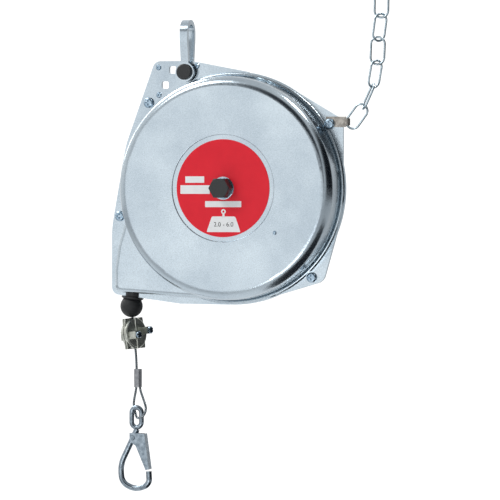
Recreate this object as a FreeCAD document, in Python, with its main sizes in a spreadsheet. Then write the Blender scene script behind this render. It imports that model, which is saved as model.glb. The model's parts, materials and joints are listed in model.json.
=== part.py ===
"""Spring balancer for hand tools, written as a parametric FreeCAD document.

Row frame: origin on the suspension seat (inner top of the bow), +X right, +Z up, front towards -Y.
Most pieces are drawn in a front view: local X is right, local Y is up and local Z points to the front.
"""
import FreeCAD, Part
import math
import os
import re
import Sketcher

SIZES = {
    # where the suspension pin stands below the seat
    "pin_drop": 48.0,
    # pressed covers
    "sheet_thick": 2.0, "dish_r": 113.0, "dish_draft": 1.0, "front_depth": 35.0,
    "rear_step": 3.0, "rear_depth": 31.0, "corner_r": 9.5, "bead_r": 2.1, "flange_rim": 4.5,
    "top_rise": 11.3, "left_reach": 13.4, "plate_round": 8.0, "side_round": 110.0, "ear_round": 8.0,
    "heel_round": 11.0,
    "lobe_depth": 14.0, "lobe_inset": 7.6, "lobe_round": 7.0, "lobe_edge": 4.5,
    "recess_r": 53.5, "recess_deep": 1.0, "recess_edge": 0.8, "plug_x": 54.6, "plug_y": 44.5, "plug_r": 1.6,
    # fasteners of the covers
    "screw_out": 5.5, "screw_r": 2.5, "screw_head_r": 5.2, "screw_head": 3.4,
    "screw_hole_r": 2.75, "nut_flats": 8.0, "nut_thick": 4.0,
    "rivet_r": 1.9, "rivet_head_r": 2.9, "rivet_head": 1.2, "spare_hole": 7.7,
    # suspension bow
    "strap_wide": 8.0, "strap_thick": 4.8, "bow_depth": 26.0, "bow_foot": 19.0, "bow_belly": 33.0,
    "bow_bend": 12.7, "bow_sweep": 50.0, "eye_r": 9.8, "pin_r": 4.5, "fit": 0.05, "cap_r": 8.0,
    "cap_thick": 3.0,
    # front middle
    "label_thick": 0.35, "knob_flats": 19.0, "knob_tall": 12.5,
    "washer_r": 10.8, "washer_thick": 1.5, "arbor_r": 7.0, "bush_wall": 2.0,
    # drum, spring and ratchet
    "cable_r": 1.3, "drum_step": 4.0, "groove_pitch": 4.2, "groove_count": 4,
    "drum_lip": 3.0, "web_thick": 4.0, "drum_lid_thick": 2.5,
    "lid_screw_r": 1.9, "lid_screw_count": 6, "spring_band": 1.0, "spring_wide": 17.6,
    "spring_turns": 7, "ratchet_r": 26.0, "ratchet_teeth": 24, "ratchet_thick": 4.0,
    "tooth_deep": 2.6, "pawl_pin_r": 2.5, "gap": 0.4,
    # cable end
    "ball_r": 11.4, "nozzle_r": 7.4, "nozzle_rim_r": 11.3, "nozzle_rim": 9.4,
    "clamp_r": 16.0, "clamp_sheet": 1.5, "clamp_deep": 4.0, "clamp_x": 2.45,
    "clamp_screw_side": 9.3, "clamp_stagger": 1.8, "pocket_wide": 9.0, "pocket_high": 8.0,
    "boss_tall": 9.0, "boss_wide": 7.4, "ear_reach": 15.6, "clamp_screw_r": 2.0, "clamp_head_r": 3.4,
    "clamp_head": 2.8,
    "ferrule_x": 6.9, "ferrule_long": 18.4, "ferrule_wide": 7.6,
    "ferrule_deep": 5.6,
    # snap hook
    "eye_x": 5.4, "ring_wire_r": 2.5, "ring_wide": 15.5, "ring_high": 25.2,
    "hook_wire_r": 3.0, "gate_sheet": 1.2, "gate_wide": 9.2, "gate_rivet_r": 1.5,
    # chain
    "link_long": 29.5, "link_wide": 16.0, "link_wire_r": 1.15, "link_slack": 1.5,
    "clip_thick": 1.2, "clip_wide": 10.5, "clip_long": 21.0, "curl_in_r": 2.15, "curl_wide": 7.0,
}

# worked out from the sizes above, also kept in the sheet; the names in a formula stand above it
DERIVED = {
    "flange_r": "dish_r + flange_rim",
    "hub_side": "flange_r - 67.5",
    "hub_drop": "flange_r + pin_drop",
    "front_face": "sheet_thick + front_depth",
    "rear_face": "sheet_thick + rear_depth",
    # the clip hangs on the second cover screw, and the ear of the flange ends behind its curl
    "screw_circle_r": "flange_r + screw_out",
    "curl_x": "0.845262 * (screw_circle_r - 2.7) + 16.815",
    "clip_y": "0.534352 * (screw_circle_r - 2.7) + 2.017",
    # corners of the flange outline: right of and above the hub, or below it for waist, base and heel
    "corner_x": "flange_r - 33.2",
    "top_run": "flange_r - 71.5",
    "side_x": "flange_r - 1.5",
    "side_y": "flange_r - 74.5",
    "waist_y": "flange_r - 77.5",
    "base_left_y": "flange_r - 10",
    "base_mid_x": "flange_r - 60.5",
    "base_mid_y": "flange_r - 0.5",
    "ear_x": "curl_x - 3.5",
    "ear_y": "clip_y + 2.1",
    "heel_x": "flange_r - 23",
    "heel_y": "flange_r - 24",
    # what is fixed to the covers
    "arbor_hole_r": "arbor_r + bush_wall",
    "label_seat": "front_face - recess_deep",
    "label_r": "recess_r - 4.5",
    # drum inside the rear dish
    "drum_small_r": "dish_r - rear_step - 22",
    "chamber_r": "drum_small_r - 8",
    # cable end, down from the hub
    "cable_side": "flange_r + left_reach - 20.5",
    "ball_drop": "base_left_y + 12.4",
    "clamp_low": "ball_drop + 27.7",
    "ferrule_top": "ball_drop + 64",
    "eye_drop": "ball_drop + 113.3",
}

# cover screws: angle round the hub and distance outside their mean circle
SCREWS = ((136.3, 2.5), (32.3, -2.7), (-47.3, -1.3), (193.1, 2.1))
# right of and below the upper left corner of the flange outline
RIVETS = ((4.0, 6.4), (45.0, 5.2), (4.3, 34.3))
SPARE_HOLES = ((19.0, 9.0), (11.0, 24.3))
CHAIN_LEANS = (37.0, 25.0, 10.0, 2.5, 8.0, 1.0, 6.0)
CHAIN_TURNS = (0.0, -63.0, 57.0, 10.0, 50.0, 8.0, 62.0)
CLAMP_TURN = 69.0
CLAMP_LEAN = 5.9

# cable routes: right of and above the ball's middle, and for the eye from the hook's eye, with depth
LEAD_ROUTE = ((18.0, 109.3), (10.4, 63.4), (1.9, 15.4))
HOIST_ROUTE = ((0.0, 11.4), (0.1, -4.6), (2.8, -31.1), (5.5, -56.1), (5.5, -72.4))
EYE_ROUTE = ((0.1, 0.0, 40.0), (0.0, 0.0, 30.2), (-5.6, 4.8, 13.2), (-3.0, 4.9, 3.7), (0.0, 0.0, 0.6),
             (2.8, -4.9, -0.6), (8.6, -5.6, 0.6), (12.7, -5.0, 8.7), (8.0, -2.7, 19.7), (3.0, 0.0, 30.2),
             (2.9, 0.0, 40.0))
# hook wire, gate outline and rivet, measured from the middle of the hook's eye
HOOK_ROUTE = ((0.4, -12.0), (-17.4, -48.4), (-15.9, -66.7), (-1.3, -73.5), (13.9, -68.1), (13.1, -54.6))
GATE_OUTLINE = ((-6.1, -15.6), (9.7, -16.3), (14.7, -52.3), (11.2, -53.4), (0.4, -28.7), (-6.1, -24.2))
GATE_RIVET = (-3.0, -20.6)

DOC = FreeCAD.newDocument("tool_balancer")
SHEET = DOC.addObject("Spreadsheet::Sheet", "Sizes")
FRONT_VIEW = FreeCAD.Rotation(FreeCAD.Vector(1, 0, 0), 90)
PIECES = []
Vector = FreeCAD.Vector


# ---------------------------------------------------------------- sheet and small helpers

def fill_sheet():
    """Write every driving size and every derived formula into the sheet as an aliased cell."""
    formulas = [(alias, "=" + text) for alias, text in DERIVED.items()]
    for row, (alias, value) in enumerate(list(SIZES.items()) + formulas, start=1):
        SHEET.set("A%d" % row, alias)
        SHEET.set("B%d" % row, str(value))
        SHEET.setAlias("B%d" % row, alias)
    DOC.recompute()


def size(alias):
    """Read one size back from the sheet."""
    return float(SHEET.get(alias))


def bound(text):
    """Turn a formula of aliases into an expression on the sheet."""
    def spelled(word):
        name = word.group()
        return "Sizes." + name if name in SIZES or name in DERIVED else name
    return re.sub(r"[a-z][a-z0-9_]*", spelled, text)


def keep(piece, label):
    """Register a finished sub-part under its node name."""
    piece.Label = label
    PIECES.append(piece)
    return piece


def place(piece, x, y, z, rotation=None):
    """Bind the place of a piece to formulas, and turn it."""
    piece.Placement = FreeCAD.Placement(Vector(), rotation or FreeCAD.Rotation())
    for axis, text in zip("xyz", (x, y, z)):
        piece.setExpression("Placement.Base." + axis, bound(text))
    return piece


def at_hub(piece, front="0"):
    """Place a piece that is drawn in front view about the hub axis."""
    return place(piece, "hub_side", "-(%s)" % front, "-hub_drop", FRONT_VIEW)


def new_body(label):
    """Start a sub-part made with PartDesign."""
    return keep(DOC.addObject("PartDesign::Body", label), label)


def plane(body, role):
    """One of the origin planes of a body."""
    return next(part for part in body.Origin.OriginFeatures if part.Role == role)


# ---------------------------------------------------------------- sketches

def new_sketch(body, role, lift=None):
    """An empty sketch on an origin plane, lifted along its normal by a formula."""
    sketch = body.newObject("Sketcher::SketchObject", body.Name + "_sketch")
    sketch.AttachmentSupport = [(plane(body, role), "")]
    sketch.MapMode = "FlatFace"
    if lift:
        sketch.setExpression("AttachmentOffset.Base.z", bound(lift))
    return sketch


def pin_point(sketch, geometry, point, x, y):
    """Fix a sketch point at two formulas."""
    for kind, axis, text in (("DistanceX", -2, x), ("DistanceY", -1, y)):
        if text == "0":
            sketch.addConstraint(Sketcher.Constraint("PointOnObject", geometry, point, axis))
        else:
            rule = Sketcher.Constraint(kind, -1, 1, geometry, point, 1.0)
            index = sketch.addConstraint(rule)
            sketch.setExpression("Constraints[%d]" % index, bound(text))


def add_loop(sketch, corners):
    """Add a closed loop of straight lines through corners given as formulas."""
    first = sketch.GeometryCount
    count = len(corners)
    rough = [Vector(50 * math.cos(6.283 * i / count), 50 * math.sin(6.283 * i / count), 0)
             for i in range(count)]
    for i in range(count):
        sketch.addGeometry(Part.LineSegment(rough[i], rough[(i + 1) % count]), False)
    for i in range(count):
        follow = first + (i + 1) % count
        sketch.addConstraint(Sketcher.Constraint("Coincident", first + i, 2, follow, 1))
    for i, (x, y) in enumerate(corners):
        pin_point(sketch, first + i, 1, x, y)
    return sketch


def add_circle(sketch, x, y, radius):
    """Add a circle whose centre and radius are formulas."""
    index = sketch.addGeometry(Part.Circle(Vector(1, 1, 0), Vector(0, 0, 1), 5.0), False)
    pin_point(sketch, index, 3, x, y)
    rule = sketch.addConstraint(Sketcher.Constraint("Radius", index, 5.0))
    sketch.setExpression("Constraints[%d]" % rule, bound(radius))
    return sketch


# ---------------------------------------------------------------- PartDesign features

def feature(body, kind, sketch, **settings):
    """Add a sketch-based feature to a body and hide nothing else."""
    made = body.newObject("PartDesign::" + kind, body.Name + "_" + kind)
    made.Profile = sketch
    for name, value in settings.items():
        setattr(made, name, value)
    return made


def pad(body, sketch, length, back=False, both=False):
    """Pad a sketch by a formula."""
    made = feature(body, "Pad", sketch, Reversed=back, Midplane=both)
    made.setExpression("Length", bound(length))
    return made


def pocket(body, sketch, length=None, back=False, both=False):
    """Cut a sketch out of the body; without a length, all the way through."""
    made = feature(body, "Pocket", sketch, Reversed=back, Midplane=both)
    if length:
        made.setExpression("Length", bound(length))
    else:
        made.Type = "ThroughAll"
    return made


def revolve(body, corners, cut=False):
    """Turn a profile of (radius, height) corners round the local Z axis."""
    sketch = add_loop(new_sketch(body, "XZ_Plane"), corners)
    kind = "Groove" if cut else "Revolution"
    return feature(body, kind, sketch, ReferenceAxis=(sketch, ["V_Axis"]), Angle=360.0)


def round_edges(body, radius, test):
    """Round every edge of the body's tip that passes the test."""
    DOC.recompute()
    base = body.Tip
    names = ["Edge%d" % i for i, edge in enumerate(base.Shape.Edges, start=1) if test(edge)]
    made = body.newObject("PartDesign::Fillet", body.Name + "_Fillet")
    made.Base = (base, names)
    made.setExpression("Radius", bound(radius))
    DOC.recompute()
    return made


def is_circle(edge, radius, height, slack=0.05):
    """True for a full circle about the local Z axis with this radius and height."""
    curve = edge.Curve
    if not isinstance(curve, Part.Circle):
        return False
    middle = curve.Center
    return (abs(curve.Radius - radius) < slack and abs(middle.z - height) < slack
            and math.hypot(middle.x, middle.y) < slack)


def is_upright(edge):
    """True for a straight edge along local Z."""
    ends = [vertex.Point for vertex in edge.Vertexes]
    if len(ends) != 2 or not isinstance(edge.Curve, Part.Line):
        return False
    return (ends[0] - ends[1]).normalize().isEqual(Vector(0, 0, 1), 1e-6) or \
        (ends[1] - ends[0]).normalize().isEqual(Vector(0, 0, 1), 1e-6)


def near(edge, x, y, reach=1.0):
    """True where an edge passes this front-view point."""
    middle = edge.BoundBox.Center
    return math.hypot(middle.x - x, middle.y - y) < reach


# ---------------------------------------------------------------- covers

PLATE_LEFT = (("0.132 * flange_r", "flange_r - 0.4"), ("-top_run", "flange_r + top_rise"),
              ("-corner_x", "flange_r + top_rise"), ("-side_x", "side_y"),
              ("-(flange_r + left_reach)", "-waist_y"), ("-(flange_r + left_reach)", "-base_left_y"),
              ("-base_mid_x", "-base_mid_y"), ("-5", "-flange_r"), ("0", "0"))
PLATE_EAR = (("0", "0"), ("ear_x", "20"), ("ear_x", "ear_y"), ("0.4226 * flange_r", "0.9063 * flange_r"))
PLATE_HEEL = (("0", "0"), ("0.409 * flange_r", "-0.912 * flange_r"), ("heel_x", "-heel_y"),
              ("0.924 * flange_r", "-0.383 * flange_r"))



def press_plate(body, back):
    """Pad the flange outline of one cover, with its corners rounded."""
    pad(body, add_circle(new_sketch(body, "XY_Plane"), "0", "0", "flange_r"), "sheet_thick", back)
    for outline in (PLATE_LEFT, PLATE_EAR, PLATE_HEEL):
        pad(body, add_loop(new_sketch(body, "XY_Plane"), outline), "sheet_thick", back)
    left = -(size("flange_r") + size("left_reach"))
    top = size("flange_r") + size("top_rise")
    corners = (
        ("plate_round", -size("corner_x"), top), ("plate_round", left, -size("base_left_y")),
        ("side_round", -size("side_x"), size("side_y")), ("side_round", left, -size("waist_y")),
        ("ear_round", size("ear_x"), size("ear_y")), ("heel_round", size("heel_x"), -size("heel_y")),
    )
    for radius, x, y in corners:
        round_edges(body, radius, lambda edge: is_upright(edge) and near(edge, x, y))


def press_lobe(body, back):
    """Raise the cable exit lobe on one cover."""
    outer = (("-(dish_r - 25)", "-12"), ("-(dish_r - 2)", "-29"), ("-(flange_r + 2)", "-58"),
             ("-(flange_r + left_reach - lobe_inset)", "-82"),
             ("-(flange_r + left_reach - lobe_inset)", "-(base_left_y - 2.5)"),
             ("-(dish_r - 38)", "-(base_mid_y - 8.8)"), ("-20", "-(dish_r - 1)"), ("-10", "-(dish_r - 25)"))
    pad(body, add_loop(new_sketch(body, "XY_Plane"), outer), "sheet_thick + lobe_depth", back)
    left = -(size("flange_r") + size("left_reach") - size("lobe_inset"))
    low = -(size("base_left_y") - 2.5)
    high = size("sheet_thick") + size("lobe_depth")
    round_edges(body, "lobe_round", lambda edge: is_upright(edge) and near(edge, left, low))

    def on_rim(edge):
        box = edge.BoundBox
        flat = abs(abs(box.ZMin) - high) < 0.01 and abs(abs(box.ZMax) - high) < 0.01
        middle = box.Center
        return flat and math.hypot(middle.x, middle.y) > size("dish_r") - 10
    round_edges(body, "lobe_edge", on_rim)


def press_dish(body, way, depth, radius):
    """Raise the round dish of one cover: way is the sign of the axial direction."""
    face = "%s(sheet_thick + %s)" % (way, depth)
    revolve(body, (("0", "0"), (radius, "0"), (radius, way + "sheet_thick"),
                   (radius + " - dish_draft", face), ("0", face)))


def press_bead(body, radius):
    """Roll a half-round bead round the foot of the front dish, open where screw heads stand."""
    sketch = new_sketch(body, "XZ_Plane")
    add_circle(sketch, radius + " + bead_r - 0.3", "sheet_thick + 0.3", "bead_r")
    feature(body, "Revolution", sketch, ReferenceAxis=(sketch, ["V_Axis"]), Angle=360.0)
    reliefs = new_sketch(body, "XY_Plane", "sheet_thick")
    for angle, extra in SCREWS[1:3]:
        add_circle(reliefs, *screw_place(angle, extra), "screw_head_r + 1.2")
    pocket(body, reliefs, "bead_r * 2", back=True)


def hollow_dish(body, way, depth, radius):
    """Cut the inside of the dish one sheet thickness under its outside."""
    floor = "%s%s" % (way, depth)
    inner = radius + " - sheet_thick"
    revolve(body, (("0", "0"), (inner, "0"), (inner + " - dish_draft", floor), ("0", floor)), cut=True)


def build_cover(label, way, depth, radius, radius_now, depth_now):
    """Model one pressed cover up to its holes."""
    back = way == "-"
    sign = -1.0 if back else 1.0
    body = DOC.addObject("PartDesign::Body", label + "_shell")
    press_plate(body, back)
    if not back:
        press_bead(body, radius)
    press_lobe(body, back)
    press_dish(body, way, depth, radius)
    face = sign * (size("sheet_thick") + depth_now)
    top_r = radius_now - size("dish_draft")
    hollow_dish(body, way, depth, radius)
    inner_r = top_r - size("sheet_thick")
    floor = sign * depth_now
    round_edges(body, "corner_r - sheet_thick", lambda edge: is_circle(edge, inner_r, floor))
    round_edges(body, "corner_r", lambda edge: is_circle(edge, top_r, face))
    return body


LOBE_INSIDE = (("-(dish_r - 25)", "-12"), ("-(dish_r - 4.5)", "-31"), ("-flange_r", "-58"),
               ("-(flange_r + left_reach - lobe_inset - sheet_thick)", "-82"),
               ("-(flange_r + left_reach - lobe_inset - sheet_thick)", "-(base_left_y - 2.5 - sheet_thick)"),
               ("-(dish_r - 38)", "-(base_mid_y - 8.8 - sheet_thick)"),
               ("-20", "-(dish_r - 1 - sheet_thick)"), ("-10", "-(dish_r - 25)"))


def screw_place(angle, extra):
    """Formulas for one cover screw in front view."""
    reach = "(screw_circle_r + %g)" % extra
    return "%s * %.6f" % (reach, math.cos(math.radians(angle))), \
        "%s * %.6f" % (reach, math.sin(math.radians(angle)))


def from_corner(right, below):
    """Formulas in front view for a place measured from the flange's upper left corner."""
    return "(%g - corner_x)" % right, "(flange_r + top_rise - %g)" % below


def pierce_cover(body):
    """Cut every hole that runs through one cover."""
    round_holes = new_sketch(body, "XY_Plane")
    add_circle(round_holes, "0", "0", "arbor_hole_r")
    add_circle(round_holes, "-hub_side", "hub_drop - pin_drop", "pin_r")
    for angle, extra in SCREWS:
        add_circle(round_holes, *screw_place(angle, extra), "screw_hole_r")
    for right, below in RIVETS:
        add_circle(round_holes, *from_corner(right, below), "rivet_r")
    pocket(body, round_holes, both=True)
    for right, below in SPARE_HOLES:
        x, y = from_corner(right, below)
        pocket(body, box_loop(new_sketch(body, "XY_Plane"), x, y, "spare_hole", "spare_hole"), both=True)
        x_now = right - size("corner_x")
        y_now = size("flange_r") + size("top_rise") - below
        round_edges(body, "spare_hole / 4",
                    lambda edge: is_upright(edge) and near(edge, x_now, y_now, size("spare_hole")))


def nozzle_turn():
    """Rotation that stands the nozzle square on the sloping lower edge."""
    rise = size("base_mid_y") - size("base_left_y")
    run = size("flange_r") + size("left_reach") - size("base_mid_x")
    return FreeCAD.Rotation(Vector(0, 1, 0), math.degrees(math.atan2(rise, run)))


def finish_cover(body, label):
    """Open the cable exit in a cover body and keep the result."""
    tool = DOC.addObject("Part::Cylinder", label + "_exit")
    tool.setExpression("Radius", bound("nozzle_r"))
    tool.setExpression("Height", bound("ball_drop - base_left_y + nozzle_r * 1.6"))
    place(tool, "hub_side - cable_side", "0", "-hub_drop - ball_drop", nozzle_turn())
    made = DOC.addObject("Part::Cut", label)
    made.Base = body
    made.Tool = tool
    return keep(made, label)


def front_cover():
    """Pressed front shell with the label recess and the small plug hole."""
    body = build_cover("front_cover", "", "front_depth", "dish_r", size("dish_r"), size("front_depth"))
    pocket(body, add_loop(new_sketch(body, "XY_Plane"), LOBE_INSIDE), "lobe_depth", back=True)
    pierce_cover(body)
    recess = add_circle(new_sketch(body, "XY_Plane", "label_seat"), "0", "0", "recess_r")
    pocket(body, recess, "recess_deep * 3", back=True)
    face = size("sheet_thick") + size("front_depth")
    round_edges(body, "recess_edge", lambda edge: is_circle(edge, size("recess_r"), face))
    plug = add_circle(new_sketch(body, "XY_Plane", "front_depth - 1"), "plug_x", "-plug_y", "plug_r")
    pocket(body, plug, "sheet_thick * 3", back=True)
    at_hub(body)
    return finish_cover(body, "front_cover")


def rear_cover():
    """Pressed rear shell, its dish a little smaller than the front one."""
    radius = "(dish_r - rear_step)"
    body = build_cover("rear_cover", "-", "rear_depth", radius,
                       size("dish_r") - size("rear_step"), size("rear_depth"))
    pocket(body, add_loop(new_sketch(body, "XY_Plane"), LOBE_INSIDE), "lobe_depth")
    pierce_cover(body)
    at_hub(body)
    return finish_cover(body, "rear_cover")


# ---------------------------------------------------------------- fasteners of the housing

def fuse(label, parts):
    """Fuse Part objects into one piece."""
    made = DOC.addObject("Part::MultiFuse", label)
    made.Shapes = parts
    made.Refine = True
    return made


def group(label, parts):
    """Keep several separate solids in one node."""
    made = DOC.addObject("Part::Compound", label)
    made.Links = parts
    return keep(made, label)


def cut(label, base, tool):
    """Cut one Part object from another."""
    made = DOC.addObject("Part::Cut", label)
    made.Base = base
    made.Tool = tool
    return made


def clip_at(index):
    """Extra height under the head of the screw that also holds the chain clip."""
    return "clip_thick" if index == 1 else "0"


def cover_screws():
    """Four pan-head screws: a rounded head on a shank that reaches through the nut."""
    screws = []
    for index, (angle, extra) in enumerate(SCREWS):
        name = "cover_screw_%d" % (index + 1)
        body = DOC.addObject("PartDesign::Body", name)
        under = "sheet_thick + %s" % clip_at(index)
        tip = "-(sheet_thick + nut_thick + 1.5)"
        revolve(body, (("0", tip), ("screw_r", tip), ("screw_r", under), ("screw_head_r", under),
                       ("screw_head_r", under + " + screw_head"), ("0", under + " + screw_head")))
        top = size("sheet_thick") + size("screw_head") + (size("clip_thick") if index == 1 else 0)
        round_edges(body, "screw_head * 0.6",
                    lambda edge: is_circle(edge, size("screw_head_r"), top))
        for across in (("0.7", "screw_head_r * 0.55"), ("screw_head_r * 0.55", "0.7")):
            slot = (("-" + across[0], "-" + across[1]), (across[0], "-" + across[1]),
                    (across[0], across[1]), ("-" + across[0], across[1]))
            lift = under + " + screw_head * 0.45"
            pocket(body, add_loop(new_sketch(body, "XY_Plane", lift), slot), "screw_head", back=True)
        x, y = screw_place(angle, extra)
        place(body, "hub_side + " + x, "0", "-hub_drop + " + y, FRONT_VIEW)
        screws.append(body)
    return group("cover_screws", screws)


def hexagon(flats):
    """Corners of a hexagon, flats given as a formula."""
    return [("(%s) * %.6f" % (flats, math.cos(math.radians(60 * i)) / math.sqrt(3)),
             "(%s) * %.6f" % (flats, math.sin(math.radians(60 * i)) / math.sqrt(3)))
            for i in (0.001, 1, 2, 3.001, 4, 5)]


def cover_nuts():
    """Four hexagon nuts on the back of the flange."""
    nuts = []
    for index, (angle, extra) in enumerate(SCREWS):
        body = DOC.addObject("PartDesign::Body", "cover_nut_%d" % (index + 1))
        sketch = add_loop(new_sketch(body, "XY_Plane", "-sheet_thick"), hexagon("nut_flats"))
        pad(body, add_circle(sketch, "0", "0", "screw_r"), "nut_thick", back=True)
        x, y = screw_place(angle, extra)
        place(body, "hub_side + " + x, "0", "-hub_drop + " + y, FRONT_VIEW)
        nuts.append(body)
    return group("cover_nuts", nuts)


def plate_rivets():
    """Three rivets that join both flanges beside the suspension pin."""
    rivets = []
    for index, (right, below) in enumerate(RIVETS):
        body = DOC.addObject("PartDesign::Body", "plate_rivet_%d" % (index + 1))
        face = "sheet_thick"
        end = "(sheet_thick + rivet_head)"
        revolve(body, (("0", "-" + end), ("rivet_head_r * 0.7", "-" + end), ("rivet_head_r", "-" + face),
                       ("rivet_r", "-" + face), ("rivet_r", face), ("rivet_head_r", face),
                       ("rivet_head_r * 0.7", end), ("rivet_head_r * 0.35", end),
                       ("rivet_head_r * 0.25", face), ("0", face)))
        x, y = from_corner(right, below)
        place(body, "hub_side + " + x, "0", "-hub_drop + " + y, FRONT_VIEW)
        rivets.append(body)
    return group("plate_rivets", rivets)


def face_plug():
    """Small plug in the front face beside the label."""
    body = new_body("face_plug")
    low = "front_depth - 1"
    high = "front_face + 0.9"
    revolve(body, (("0", low), ("plug_r", low), ("plug_r", "front_face"), ("plug_r + 0.5", "front_face"),
                   ("plug_r * 0.6", high), ("0", high)))
    return place(body, "hub_side + plug_x", "0", "-hub_drop - plug_y", FRONT_VIEW)


# ---------------------------------------------------------------- suspension

def at_pin(piece):
    """Place a front-view piece on the suspension pin."""
    return place(piece, "0", "0", "-pin_drop", FRONT_VIEW)


def hanger_pin():
    """Cross pin pressed through both flanges."""
    body = new_body("hanger_pin")
    end = "(bow_foot / 2 + cap_thick * 0.6)"
    revolve(body, (("0", "-" + end), ("pin_r - 0.6", "-" + end), ("pin_r", "-" + end + " + 0.6"),
                   ("pin_r", end + " - 0.6"), ("pin_r - 0.6", end), ("0", end)))
    return at_pin(body)


def hanger_pin_caps():
    """Black caps on both ends of the pin."""
    caps = []
    for index, way in enumerate(("", "-")):
        body = DOC.addObject("PartDesign::Body", "pin_cap_%d" % (index + 1))
        seat = way + "(bow_foot / 2 + 0.2)"
        inner = way + "(bow_foot / 2 + cap_thick * 0.6)"
        top = way + "(bow_foot / 2 + 0.2 + cap_thick)"
        soft = way + "(bow_foot / 2 - 0.6 + cap_thick)"
        revolve(body, (("pin_r", seat), ("cap_r", seat), ("cap_r", soft), ("cap_r - 0.9", top),
                       ("0", top), ("0", inner), ("pin_r", inner)))
        caps.append(at_pin(body))
    return group("hanger_pin_caps", caps)


def bow_outline(low, top, inset):
    """Pear outline of the bow seen from the side: (height over the pin, depth) as formulas."""
    foot = "(bow_foot / 2 - %s)" % inset
    deep = "(bow_depth / 2 - %s)" % inset
    half = ((low, foot), ("eye_r", foot), ("bow_belly", deep), (top, deep))
    return half[::-1] + tuple((height, "-" + depth) for height, depth in half)


def round_bow(body, radius, height, depth):
    """Round the two bends of the bow that run across it at this height and depth."""
    def is_bend(edge):
        box = edge.BoundBox
        flat = abs(box.YMin - height) < 0.01 and abs(box.YMax - height) < 0.01
        return flat and abs(box.ZMin - box.ZMax) < 0.01 and abs(abs(box.ZMin) - depth) < 0.01
    round_edges(body, radius, is_bend)


def suspension_bow():
    """Pear-shaped bow of flat bar: round eyes, legs that spread upwards and an arched top."""
    side = DOC.addObject("PartDesign::Body", "bow_side")
    top = "(pin_drop + strap_thick)"
    bar = add_loop(new_sketch(side, "YZ_Plane"), bow_outline("-eye_r * 0.5", top, "0"))
    pad(side, bar, "strap_wide", both=True)
    pad(side, add_circle(new_sketch(side, "XY_Plane"), "0", "0", "eye_r"), "bow_foot", both=True)
    gap = add_loop(new_sketch(side, "YZ_Plane"), bow_outline("-2 * eye_r", "pin_drop", "strap_thick"))
    pocket(side, gap, both=True)
    hole = add_circle(new_sketch(side, "XY_Plane"), "0", "0", "pin_r + fit")
    pocket(side, hole, both=True)
    thick = size("strap_thick")
    deep = size("bow_depth") / 2
    round_bow(side, "bow_bend", size("pin_drop") + thick, deep)
    round_bow(side, "bow_bend - strap_thick", size("pin_drop"), deep - thick)
    round_bow(side, "bow_sweep", size("bow_belly"), deep)
    round_bow(side, "bow_sweep - strap_thick", size("bow_belly"), deep - thick)
    return keep(at_pin(side), "suspension_bow")


# ---------------------------------------------------------------- label and tension knob

def front_label():
    """Thin round label with an open middle."""
    body = new_body("front_label")
    sketch = new_sketch(body, "XY_Plane", "label_seat")
    add_circle(sketch, "0", "0", "label_r")
    pad(body, add_circle(sketch, "0", "0", "washer_r + 0.7"), "label_thick")
    return at_hub(body)


def tension_knob():
    """Hexagon that turns the spring arbor."""
    body = new_body("tension_knob")
    low = "(label_seat + washer_thick)"
    sketch = add_loop(new_sketch(body, "XY_Plane", low), hexagon("knob_flats"))
    pad(body, sketch, "knob_tall")
    revolve(body, (("knob_flats * 0.5", low + " + knob_tall + 1"),
                   ("knob_flats * 0.5", low + " + knob_tall"), ("knob_flats", low + " + knob_tall * 0.62"),
                   ("knob_flats", low + " + knob_tall + 1")), cut=True)
    bore = add_circle(new_sketch(body, "XY_Plane", low), "0", "0", "arbor_r")
    pocket(body, bore, "knob_tall * 0.6", back=True)
    return at_hub(body)


def knob_washer():
    """Washer between the front cover and the hexagon."""
    body = new_body("knob_washer")
    sketch = new_sketch(body, "XY_Plane", "label_seat + 0.1")
    add_circle(sketch, "0", "0", "washer_r")
    pad(body, add_circle(sketch, "0", "0", "arbor_r"), "washer_thick - 0.1")
    return at_hub(body)


# ---------------------------------------------------------------- arbor and ratchet

def arbor():
    """Shaft that carries the spring's inner end, the ratchet wheel and the hexagon."""
    body = new_body("arbor")
    rear = "-(rear_face + 3)"
    revolve(body, (("0", rear), ("arbor_r - 0.8", rear), ("arbor_r", rear + " + 0.8"),
                   ("arbor_r", "-(rear_face + 1.5)"), ("arbor_r - 0.8", "-(rear_face + 1.5)"),
                   ("arbor_r - 0.8", "-(rear_face + 0.2)"), ("arbor_r", "-(rear_face + 0.2)"),
                   ("arbor_r", "label_seat + washer_thick + knob_tall * 0.6"),
                   ("0", "label_seat + washer_thick + knob_tall * 0.6")))
    return at_hub(body)


def arbor_ring():
    """Retaining ring in the arbor's rear groove."""
    body = new_body("arbor_ring")
    sketch = new_sketch(body, "XY_Plane", "-(rear_face + 0.2)")
    add_circle(sketch, "0", "0", "arbor_r + 3")
    pad(body, add_circle(sketch, "0", "0", "arbor_r - 0.8"), "1.2", back=True)
    return at_hub(body)


def flanged_bush(label, flange, collar, end):
    """Bush on the arbor: tube between collar and end, flange on the far side of collar."""
    body = new_body(label)
    bore = "arbor_r + fit"
    revolve(body, ((bore, flange), ("arbor_hole_r + 3", flange), ("arbor_hole_r + 3", collar),
                   ("arbor_hole_r", collar), ("arbor_hole_r", end), (bore, end)))
    return at_hub(body)


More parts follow.
